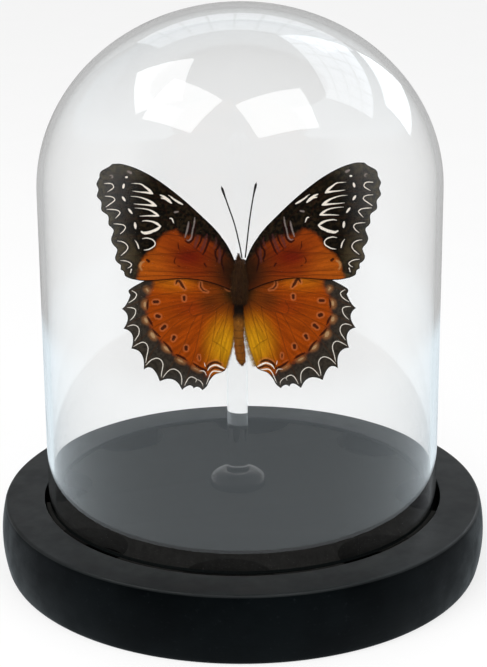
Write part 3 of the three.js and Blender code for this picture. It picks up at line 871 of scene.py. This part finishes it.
def forewing_ground(s):
    """The dark outer half: near black round the white marks, olive brown along the outer edge."""
    black = s.mix(s.ramp(s.noise(0.9, 6), 0.4, 0.66), rgb(8, 6, 3), rgb(37, 28, 16))
    olive = s.mix(s.ramp(s.noise(0.8, 6), 0.36, 0.64), rgb(10, 9, 5), rgb(62, 55, 36))
    outer = s.times(s.ramp(wavering(s, "rim", 0.9), 5.2, 0.8), s.ramp(s.field("out"), 24, 33))
    ground = s.mix(s.times(outer, 0.85), black, olive)
    ground = patched(s, ground, [((34.5, 77), (6, 9), 0, 0.6, rgb(78, 66, 42))])
    halo = s.times(s.ramp(s.field("white"), 1.1, 0.15), 0.8)
    return s.mix(halo, ground, rgb(8, 6, 4))


def forewing_color(s, wash):
    """Orange that turns redder and darker to the root, a dark outer half, the veins and the marks."""
    orange = patched(s, rgb(134, 54, 8), FORE_PATCHES)
    orange = streaked(s, orange, (-2, 70), 26, 0.8, 1.14)
    color = s.mix(s.ramp(wavering(s, "orange", 0.8), -0.7, 0.9), forewing_ground(s), orange)
    color = s.mix(s.ramp(s.field("vein"), 0.24, 0.0, 0.0, 0.42), color, rgb(40, 14, 5))
    color = marked(s, color, FORE_LOOKS)
    color = s.mix(s.ramp(s.field("rim"), 0.4, 0.16), color, rgb(12, 10, 7))
    return dusted(s, s.mix(wash, color, rgb(168, 122, 78)))


def hindwing_border(s):
    """The grey-brown lace border: darker towards the orange, greyer in its teeth."""
    grey = s.mix(s.ramp(s.noise(0.9, 5), 0.3, 0.7), rgb(37, 33, 28), rgb(60, 54, 46))
    inner = s.ramp(wavering(s, "orange", 0.6), -4.0, -1.0)
    grey = s.mix(s.times(inner, 0.6), grey, rgb(46, 34, 28))
    return s.mix(s.ramp(s.field("rim"), 0.9, 0.2, 0, 0.6), grey, rgb(40, 37, 32))


def hindwing_color(s, wash):
    """Orange that turns gold by the body, the lace border with its pale glow, the veins and the marks."""
    orange = patched(s, rgb(148, 61, 5), HIND_PATCHES)
    orange = streaked(s, orange, (1, 64), 20, 0.72, 1.16)
    color = s.mix(s.ramp(wavering(s, "orange", 0.8), -1.3, 0.9), hindwing_border(s), orange)
    glow = s.ramp(wavering(s, "tan", 0.3), 1.0, -0.2)
    color = s.mix(s.times(glow, 0.62), color, rgb(146, 96, 56))
    cream = s.ramp(wavering(s, "tan", 0.2), -0.1, -0.5)
    color = s.mix(s.times(cream, 0.45), color, rgb(206, 172, 126))
    ring = s.times(s.ramp(s.field("dark"), 0.7, 0.25), s.ramp(s.field("orange"), 0.8, 1.8))
    color = s.mix(s.times(ring, 0.42), color, rgb(198, 112, 62))
    color = s.mix(s.ramp(s.field("vein"), 0.26, 0.0, 0.0, 0.5), color, rgb(66, 34, 8))
    color = marked(s, color, HIND_LOOKS)
    color = s.mix(s.ramp(s.field("rim"), 0.3, 0.1), color, rgb(26, 23, 19))
    return dusted(s, s.mix(wash, color, rgb(176, 138, 92)))


# A wing's two faces, and how much the paler underside scales wash out its colours
WING_FACES = (("upper", 0.0), ("under", 0.38))


def wing_finish(name, color, wash):
    return material(name, lambda s: color(s, wash), 0.66, scales_normal, Specular_IOR_Level=0.02)


def make_wings():
    fore_marks = {"white": FORE_WHITE, "lilac": FORE_LILAC, "dusk": FORE_DUSK, "dark": FORE_DARK,
                  "tan": FORE_TAN}
    hind_marks = {"white": HIND_WHITE, "dark": HIND_DARK, "tan": HIND_TAN}
    wings = {
        "forewing": (FORE_ABOUT, FORE_Y, forewing_color,
                     wing_plan(FORE_OUTLINE, fore_marks, FORE_VEINS, FORE_ORANGE)),
        "hindwing": (HIND_ABOUT, HIND_Y, hindwing_color,
                     wing_plan(HIND_OUTLINE, hind_marks, HIND_VEINS, HIND_ORANGE)),
    }
    finishes = {wing: [wing_finish(f"{wing}_{face}", color, wash) for face, wash in WING_FACES]
                for wing, (_, _, color, _) in wings.items()}
    for hand, at in SETTING.items():
        for wing, (about, plane, _, plan) in wings.items():
            make_wing(wing, hand, plan, at["side"], at[wing], about, plane, finishes[wing])
        make_fringe(hand, at["side"], at["hindwing"], at["fringe"])


def make_fringe(hand, side, skew, length):
    """The soft hairs along a hindwing's inner edge, beside the abdomen."""
    count = FRINGE_HAIRS
    edge = catmull(HIND_OUTLINE["inner"], 0.1)
    u, v = edge[RANDOM.integers(0, len(edge), count)].T
    x = side * (u - skew * (v - HIND_ABOUT[1]) + RANDOM.uniform(0.0, 0.5, count))
    z = v - skew * u + HIND_ABOUT[0] * skew + RING_TOP
    roots = np.column_stack([x, HIND_Y + lie(x, z - RING_TOP) + RANDOM.uniform(-0.05, 0.05, count), z])
    inward = np.tile((-side, 0.0, 0.0), (count, 1))
    flow = np.tile((-side * 0.4, -0.06, -0.45), (count, 1))
    hair = material("fringe_hair_" + hand,
                    lambda s: s.mix(s.field("tint"), rgb(120, 84, 24), rgb(206, 158, 62)), 0.6,
                    lambda s: s.bump(s.noise(6, 2), 0.3, 0.02), Specular_IOR_Level=0.1)
    lengths = length * RANDOM.uniform(0.5, 1.1, count)
    hairs("hindwing_fringe_" + hand, roots, inward, lengths, flow, 0.03, hair)


# Body: heights above the ring's top, depths from BODY_Y. Thorax and head: centre, then half-size each way.
THORAX = (-0.3, 0, 67.6, 2.3, 2.5, 7.2)
HEAD = (-0.1, 0, 74.2, 1.5, 1.5, 1.5)
WAIST_LOW, WAIST_HIGH = 57, 62
# Abdomen: half-width and height, from its tip up, and the length of a segment
SEGMENT = 2.4
ABDOMEN_BEND = 52
ABDOMEN = [(0.35, 41.7), (1.3, 43.6), (1.6, 47), (1.5, 51), (1.55, 56), (1.3, 60), (1.1, 63)]
ANTENNA_ROUTES = {
    "left": [(0.5, 76.0), (-0.2, 80.0), (-1.6, 86.0), (-3.2, 91.0), (-5.4, 97.6)],
    "right": [(1.5, 76.0), (2.2, 82.0), (3.1, 89.0), (4.1, 95.0), (4.9, 98.6)],
}
LEG_ROUTES = [
    [(0.8, 1.6, 69.5), (3.2, 1.9, 72.2), (4.4, 1.8, 72.0), (3.4, 2.1, 67.6), (2.6, 2.3, 65.4)],
    [(0.6, 1.5, 64.2), (3.4, 1.7, 65.2), (5.2, 1.5, 64.8), (4.8, 1.7, 59.0), (3.3, 1.9, 54.2)],
]


def ball(x, y, z, wide, deep, tall, around=32, along=20):
    profile = [(math.sin(a), -math.cos(a)) for a in np.linspace(0, math.pi, along)]
    profile[0], profile[-1] = (0, -1), (0, 1)
    points, faces = lathe(profile, around)
    return np.array(points) * (wide, deep, tall) + (x, y, z), faces


def abdomen():
    widths = catmull(ABDOMEN, 0.35)
    profile = [(0, ABDOMEN[0][1] - 0.1)]
    for width, height in widths:
        swell = 0.045 * math.cos(height * 2 * math.pi / SEGMENT)
        groove = 0.03 * math.exp(-((height % SEGMENT) / 0.25) ** 2)
        profile.append((width * (1 + swell - groove), height))
    profile.append((0, ABDOMEN[-1][1] + 0.4))
    points, faces = lathe(profile, 40)
    points = np.array(points)
    below = np.clip(ABDOMEN_BEND - points[:, 2], 0, None) / (ABDOMEN_BEND - ABDOMEN[0][1])
    points[:, 0] += -0.6 + 1.0 * below ** 2
    return points, faces


def grown_together(parts, voxel):
    """The union of closed shapes as one skin, softened a little, in millimetres."""
    points, faces = joined(parts)
    mesh = bpy.data.meshes.new("scratch")
    mesh.from_pydata([tuple(p) for p in points], [], faces)
    scratch = bpy.data.objects.new("scratch", mesh)
    bpy.context.collection.objects.link(scratch)
    remesh = scratch.modifiers.new("join", "REMESH")
    remesh.mode, remesh.voxel_size = "VOXEL", voxel
    soften = scratch.modifiers.new("soften", "SMOOTH")
    soften.factor, soften.iterations = 0.5, 4
    whole = bpy.data.meshes.new_from_object(scratch.evaluated_get(bpy.context.evaluated_depsgraph_get()))
    bpy.data.objects.remove(scratch)
    points = np.array([tuple(v.co) for v in whole.vertices])
    faces = [tuple(f.vertices) for f in whole.polygons]
    normals = np.array([tuple(v.normal) for v in whole.vertices])
    return points, faces, normals


def hairs(name, roots, normals, lengths, flow, radius, finish):
    """Fine tapering hairs, each a bent three-sided strand, in one mesh, with a random tint for each hair."""
    count = len(roots)
    ahead = normals * 0.55 + flow + RANDOM.normal(0, 0.22, (count, 3))
    ahead /= np.linalg.norm(ahead, axis=1)[:, None]
    side = np.cross(ahead, RANDOM.normal(0, 1, (count, 3)))
    side /= np.linalg.norm(side, axis=1)[:, None]
    other = np.cross(ahead, side)
    long = lengths[:, None]
    middle = roots + ahead * long * 0.55
    tip = roots + ahead * long * 0.9 + flow * long * 0.35
    strands = []
    for at, size in ((roots - normals * 0.08, 1.0), (middle, 0.75)):
        for k in range(3):
            angle = 2 * math.pi * k / 3
            strands.append(at + radius * size * (math.cos(angle) * side + math.sin(angle) * other))
    points = np.stack([*strands, tip], axis=1).reshape(-1, 3)
    shape = [(0, 1, 4, 3), (1, 2, 5, 4), (2, 0, 3, 5), (3, 4, 6), (4, 5, 6), (5, 3, 6), (2, 1, 0)]
    faces = [tuple(7 * i + k for k in face) for i in range(count) for face in shape]
    made = piece(name, points, faces, finish)
    tint = made.data.attributes.new("tint", "FLOAT", "POINT")
    tint.data.foreach_set("value", np.repeat(RANDOM.random(count), 7).astype(np.float32))


def body_color(s):
    """Thorax brown-black with paler sides, a black waist, and a brown abdomen with paler rings."""
    x, _, z = s.apart("TexCoord", "Object")
    height = s.less(s.math("DIVIDE", z, MM), RING_TOP)
    wide = s.math("ABSOLUTE", s.math("ADD", s.math("DIVIDE", x, MM), 0.45))
    from_band = s.math("ABSOLUTE", s.less(height, 46.5))
    color = s.mix(s.ramp(height, 55.8, 59.4), rgb(138, 84, 22), rgb(18, 9, 5))
    color = s.mix(s.ramp(from_band, 3.5, 1.0, 0, 0.6), color, rgb(150, 80, 22))
    color = s.mix(s.ramp(height, 43.5, 42), color, rgb(76, 50, 28))
    color = s.mix(s.ramp(height, 61.5, 64), color, rgb(50, 28, 13))
    sides = s.times(s.ramp(wide, 0.7, 1.6), s.ramp(height, 61.5, 63.5, 0, 0.55))
    color = s.mix(sides, color, rgb(78, 62, 38))
    ring = s.math("SINE", s.times(height, 2 * math.pi / SEGMENT))
    rings = s.times(s.ramp(ring, 0.6, 1.0), s.ramp(height, 56, 54, 0, 0.5))
    color = s.mix(rings, color, rgb(66, 36, 12))
    return s.mix(s.ramp(s.noise(1.1, 4), 0.35, 0.7, 0, 0.4), color, rgb(42, 24, 11))


def hair_color(s):
    """Brown on the abdomen, darker on the thorax and nearly black at the waist, with a tint for each hair."""
    height = s.less(s.math("DIVIDE", s.apart("TexCoord", "Object")[2], MM), RING_TOP)
    dark = s.mix(s.field("tint"), rgb(38, 20, 10), rgb(88, 58, 28))
    brown = s.mix(s.field("tint"), rgb(112, 68, 20), rgb(176, 112, 40))
    color = s.mix(s.ramp(height, 54.8, 58.4), brown, dark)
    waist = s.times(s.ramp(height, 57, 58.4), s.ramp(height, 62.4, 61))
    return s.mix(s.times(waist, 0.85), color, rgb(13, 7, 5))


def make_body():
    lift = np.array((0, BODY_Y, RING_TOP))
    skin = material("insect_skin", body_color, 0.6, lambda s: s.bump(s.noise(2.4, 5), 0.6, 0.12),
                    Specular_IOR_Level=0.08)
    hair = material("insect_hair", hair_color, 0.55, lambda s: s.bump(s.noise(6, 2), 0.3, 0.02),
                    Specular_IOR_Level=0.08)
    points, faces, normals = grown_together(
        [ball(*THORAX), ball(*HEAD), ball(-0.35, -1.0, 70.6, 1.7, 1.2, 3.2), abdomen()], 0.2)
    points = points + lift
    piece("body_skin", points, faces, skin, ["body"])
    height = points[:, 2] - RING_TOP
    chance = np.where(height > WAIST_HIGH, 1.0, 0.45)
    picked = RANDOM.choice(len(points), BODY_HAIRS, p=chance / chance.sum())
    spread = RANDOM.normal(0, 0.09, (BODY_HAIRS, 3))
    lengths = np.select([height[picked] > WAIST_HIGH, height[picked] > WAIST_LOW], [1.25, 0.9], 0.45)
    lengths = lengths * RANDOM.uniform(0.6, 1.15, BODY_HAIRS)
    flow = np.tile((0.0, 0.0, -0.75), (BODY_HAIRS, 1))
    hairs("body_hair", points[picked] + spread, normals[picked], lengths, flow, 0.035, hair)
    make_head(skin, hair, lift)
    make_legs(skin, lift)


def make_head(skin, hair, lift):
    eye = material("insect_eye", lambda s: s.mix(s.noise(2.0, 3), rgb(26, 15, 10), rgb(58, 36, 22)), 0.22,
                   lambda s: s.bump(s.noise(9, 1), 0.4, 0.02), Specular_IOR_Level=0.6)
    x, y, z = HEAD[:3]
    eyes = joined([ball(x + side * 1.05, y, z + 0.3, 0.85, 0.9, 0.95, 28, 18) for side in (-1, 1)])
    piece("eyes", np.array(eyes[0]) + lift, eyes[1], eye)
    palps = []
    for x0, lean in ((-0.85, 0.12), (-0.2, -0.12)):
        rise = np.linspace(0, 1, 12)
        route = np.column_stack([x0 + lean * 2.4 * rise, -0.2 + 0 * rise, z + 0.4 + 2.45 * rise])
        palps.append(tube(route, 0.5 * (1 - rise ** 1.6) + 0.05, 12))
    points, faces = joined(palps)
    points = np.array(points) + lift
    piece("palps", points, faces, skin)
    picked = RANDOM.choice(len(points), PALP_HAIRS)
    outward = points[picked] - lift - (-0.5, -0.2, 0)
    outward[:, 2] = 0
    outward /= np.linalg.norm(outward, axis=1)[:, None] + 1e-6
    lengths = RANDOM.uniform(0.3, 0.6, PALP_HAIRS)
    flow = np.tile((0.0, 0.0, 0.8), (PALP_HAIRS, 1))
    hairs("palp_hair", points[picked], outward, lengths, flow, 0.03, hair)


def make_legs(skin, lift):
    legs = []
    for side in (-1, 1):
        for route in LEG_ROUTES:
            line = catmull([(THORAX[0] + side * x, y, z) for x, y, z in route], 0.3)
            size = np.interp(np.linspace(0, 1, len(line)), (0, 0.25, 0.55, 1), (0.26, 0.24, 0.2, 0.13))
            legs.append(tube(line, size, 10))
    points, faces = joined(legs)
    piece("legs", np.array(points) + lift, faces, skin)


def make_antennae():
    """Fine ringed stalks that thicken to a club and end in a short point."""
    lift = np.array((0, BODY_Y, RING_TOP))
    horn = material("antenna_horn", lambda s: s.mix(s.noise(3.0, 3), rgb(8, 7, 6), rgb(26, 22, 18)), 0.5,
                    lambda s: s.bump(s.noise(4.0, 3), 0.5, 0.04), Specular_IOR_Level=0.35)
    for hand, route in ANTENNA_ROUTES.items():
        line = catmull([(x, 0, z) for x, z in route], 0.22)
        whole = np.linspace(0, 1, len(line))
        size = 0.21 + 0.02 * np.cos(np.arange(len(line)) * math.pi)
        size = size + 0.16 * np.clip((whole - 0.8) / 0.14, 0, 1) ** 1.5
        size[-3:] *= (0.9, 0.65, 0.25)
        end = line[-1] + (line[-1] - line[-2]) / np.linalg.norm(line[-1] - line[-2]) * 0.35
        line = np.vstack([line, end])
        size = np.append(size, 0.06)
        points, faces = tube(line, size, 10)
        piece(f"antenna_{hand}_horn", np.array(points) + lift, faces, horn,
              ["antenna_" + hand])


def make_glue(finish):
    """A drop behind the thorax, cut back to the rod's front where it would enter the rod."""
    centre, half = (GLUE_LOW + GLUE_HIGH) / 2, (GLUE_HIGH - GLUE_LOW) / 2
    points, faces = ball(0, 0, 0, 1, 1, 1, 48, 32)
    points = np.array(points) * (half[0], half[1] + 0.4, half[2]) + centre
    rod = np.array(((ROD_LOW[0] + ROD_HIGH[0]) / 2, (ROD_LOW[1] + ROD_HIGH[1]) / 2))
    radius = (ROD_HIGH[0] - ROD_LOW[0]) / 2 + 0.05
    away = points[:, :2] - rod
    far = np.hypot(*away.T)
    near = far < radius
    points[near, 1] = rod[1] - np.sqrt(np.clip(radius ** 2 - away[near, 0] ** 2, 0, None))
    points[:, 1] = np.maximum(points[:, 1], GLUE_LOW[1])
    see_through(piece("glue_drop", points, faces, finish, ["glue_dab"]))


# Stage, light and camera

# How bright the studio looks in a mirror: at the sides and back, behind the photographer, overhead, and on
# the table near the part, as far as TABLE_REACH. STUDIO_FILL is how much the surroundings light matt things.
STUDIO_SIDE, STUDIO_FRONT, STUDIO_TOP, STUDIO_TABLE = 0.58, 0.02, 0.24, (0.82, 0.91, 0.97, 1)
STUDIO_FILL = 0.62
TABLE_REACH = 0.27
FLOOR_HALF = 12


def reflected_level(s, front, height):
    """Brightness in a mirror, from how far a direction points to the front and how far up."""
    side = s.ramp(front, 0.2, 0.62, STUDIO_SIDE, STUDIO_FRONT)
    return s.mix(s.ramp(height, 0.25, 0.7), side, STUDIO_TOP)


def make_world():
    world = bpy.data.worlds.new("studio")
    bpy.context.scene.world = world
    world.use_nodes = True
    s = Shader(world.node_tree)
    _, y, z = s.apart("TexCoord", "Generated")
    path = s.node("LightPath")
    level = reflected_level(s, s.times(y, -1), z)
    seen = s.mix(s.ramp(path.outputs["Diffuse Depth"], 0.4, 0.6), 1.0, STUDIO_FILL)
    light = s.node("Background")
    s.link(s.mix(s.ramp(path.outputs["Glossy Depth"], 0.4, 0.6), seen, level), light.inputs["Color"])
    out = s.node("OutputWorld")
    s.link(light.outputs[0], out.inputs["Surface"])
    world.cycles.sampling_method = "NONE"


def make_floor():
    """White paper that glows a little, so that it stays even, with a level of its own in mirrors."""
    finish = bpy.data.materials.new("floor_paper")
    finish.use_nodes = True
    finish.cycles.emission_sampling = "NONE"
    s = Shader(finish.node_tree)
    x, y, _ = s.apart("NewGeometry", "Position")
    far = s.length(x, y)
    level = reflected_level(s, s.math("DIVIDE", s.times(y, -1), far), 0.0)
    level = s.mix(s.ramp(far, TABLE_REACH - 0.03, TABLE_REACH + 0.03), STUDIO_TABLE, level)
    paper = s.node("BsdfDiffuse")
    s.link(s.mix(s.noise(0.02, 3), (0.3, 0.3, 0.3, 1), (0.32, 0.32, 0.32, 1)), paper.inputs["Color"])
    own = s.node("Emission")
    s.link(0.7, own.inputs["Color"])
    lit = s.node("AddShader")
    s.link(paper.outputs[0], lit.inputs[0])
    s.link(own.outputs[0], lit.inputs[1])
    glow = s.node("Emission")
    s.link(level, glow.inputs["Color"])
    both = s.node("MixShader")
    s.link(s.ramp(s.node("LightPath").outputs["Glossy Depth"], 0.4, 0.6), both.inputs[0])
    s.link(lit.outputs[0], both.inputs[1])
    s.link(glow.outputs[0], both.inputs[2])
    out = s.node("OutputMaterial")
    s.link(both.outputs[0], out.inputs["Surface"])
    mesh = bpy.data.meshes.new("floor")
    corners = [(-1, -1), (1, -1), (1, 1), (-1, 1)]
    mesh.from_pydata([(FLOOR_HALF * a, FLOOR_HALF * b, 0) for a, b in corners], [], [(0, 1, 2, 3)])
    mesh.materials.append(finish)
    floor = bpy.data.objects.new("floor", mesh)
    bpy.context.collection.objects.link(floor)


# Lamps that light the part: azimuth from the front towards the right, elevation, metres away, size, radiance
LAMPS = {
    "lamp_left": (-38, 42, 1.2, 0.8, 4.0),
    "lamp_right": (36, 38, 1.2, 0.7, 2.4),
}
# What shines in the glass: azimuth, elevation, metres away, width, height, radiance, turn,
# and panes across and up
PANELS = {
    "panel_left": (-62, 60, 0.95, 0.50, 0.42, 4.4, 10, 1, 1),
    "panel_left_back": (-103, 58, 1.0, 0.50, 0.40, 4.0, -8, 1, 1),
    "panel_front": (38, 60, 0.95, 0.56, 0.42, 4.4, -6, 1, 1),
    "window_right": (124, 46, 1.4, 1.10, 0.62, 2.2, 0, 6, 4),
    "window_low": (133, 20, 1.5, 0.75, 0.42, 3.4, 0, 7, 1),
    "window_back": (176, 42, 1.6, 1.5, 0.6, 1.1, 0, 9, 2),
}


def aimed(name, azimuth, elevation, away, turn=0):
    """An area lamp at a place on the sphere around the part, facing it."""
    a, e = math.radians(azimuth), math.radians(elevation)
    towards = Vector((math.sin(a) * math.cos(e), -math.cos(a) * math.cos(e), math.sin(e)))
    lamp = bpy.data.lights.new(name, "AREA")
    lamp.shape = "RECTANGLE"
    made = bpy.data.objects.new(name, lamp)
    bpy.context.collection.objects.link(made)
    made.location = Vector((0, 0, 0.13)) + towards * away
    spin = Matrix.Rotation(math.radians(turn), 3, "Z").to_quaternion()
    made.rotation_euler = (towards.to_track_quat("Z", "Y") @ spin).to_euler()
    made.visible_camera = False
    made.visible_transmission = False
    return made, lamp


def make_lights():
    for name, (azimuth, elevation, away, size, radiance) in LAMPS.items():
        made, lamp = aimed(name, azimuth, elevation, away)
        lamp.size = lamp.size_y = size
        lamp.energy = radiance * math.pi * size * size
        made.visible_glossy = False
    for name, (azimuth, elevation, away, wide, tall, radiance, turn, across, up) in PANELS.items():
        made, lamp = aimed(name, azimuth, elevation, away, turn)
        lamp.size, lamp.size_y = wide, tall
        lamp.energy = radiance * math.pi * wide * tall
        made.visible_diffuse = False
        if across * up > 1:
            panes(lamp, across, up)


def panes(lamp, across, up):
    """Thin dark bars across a lamp, as in a window."""
    lamp.use_nodes = True
    s = Shader(lamp.node_tree)
    bars = []
    for place, count in zip(s.apart("NewGeometry", "Parametric"), (across, up)):
        bars.append(s.math("ABSOLUTE", s.less(s.math("FRACT", s.times(place, count)), 0.5)))
    pane = s.ramp(s.math("MAXIMUM", *bars), 0.47, 0.42)
    glow = s.node("Emission")
    s.link(s.mix(pane, (0.55, 0.6, 0.62, 1), (0.93, 0.98, 1.05, 1)), glow.inputs["Color"])
    out = s.node("OutputLight")
    s.link(glow.outputs[0], out.inputs["Surface"])


# The camera stood a little left of the axis and looked down at it. Away, aside and aim are in millimetres.
CAMERA_AWAY = 480.6
CAMERA_ASIDE = -9.43
CAMERA_AIM = RING_TOP + 50
CAMERA_PITCH = math.radians(18.1)
CAMERA_ROLL = math.radians(-0.81)
FOCAL_PX = 1563.9
CENTRE_PX = (210.0, 337.0)
IMAGE_PX = (487, 667)
SENSOR_MM = 36


def make_camera():
    lens = bpy.data.cameras.new("camera")
    lens.sensor_width = SENSOR_MM
    lens.lens = FOCAL_PX * SENSOR_MM / IMAGE_PX[1]
    lens.shift_x = (IMAGE_PX[0] / 2 - CENTRE_PX[0]) / IMAGE_PX[1]
    lens.shift_y = (CENTRE_PX[1] - IMAGE_PX[1] / 2) / IMAGE_PX[1]
    lens.clip_start, lens.clip_end = 0.02, 40
    camera = bpy.data.objects.new("camera", lens)
    bpy.context.collection.objects.link(camera)
    c, s = math.cos(CAMERA_PITCH), math.sin(CAMERA_PITCH)
    ahead, right, up = Vector((0, c, -s)), Vector((1, 0, 0)), Vector((0, s, c))
    tilted_right = math.cos(CAMERA_ROLL) * right + math.sin(CAMERA_ROLL) * up
    tilted_up = math.cos(CAMERA_ROLL) * up - math.sin(CAMERA_ROLL) * right
    turn = Matrix((tilted_right, tilted_up, -ahead)).transposed().to_4x4()
    place = Vector((CAMERA_ASIDE, -CAMERA_AWAY * c, CAMERA_AIM + CAMERA_AWAY * s)) * MM
    camera.matrix_world = Matrix.Translation(place) @ turn
    bpy.context.scene.camera = camera


def main():
    make_camera()
    make_world()
    make_floor()
    make_lights()
    bpy.context.scene.view_settings.view_transform = "Standard"
    # The top's finish is painted greyer than the sides' finish as painted light, with a little dust.
    make_base(black_wood("black_wood", rgb(1, 3, 4), rgb(5, 9, 11), 0.05),
              black_wood("black_wood_lit_top", rgb(12, 16, 17), rgb(22, 26, 27), 0.16))
    make_deck(dark_deck())
    acrylic = clear("clear_acrylic", 1.49, 0.05, 0.05, (0.85, 0.9, 0.92, 1), 12)
    make_stand(acrylic)
    make_glue(clear("clear_glue", 1.46, 0.6, 0.2, (0.9, 0.88, 0.8, 1), 40))
    make_body()
    make_antennae()
    make_wings()
    make_dome(clear("dome_glass", 1.5, 0.035, 0.06, (0.8, 0.85, 0.84, 1), 30))


main()
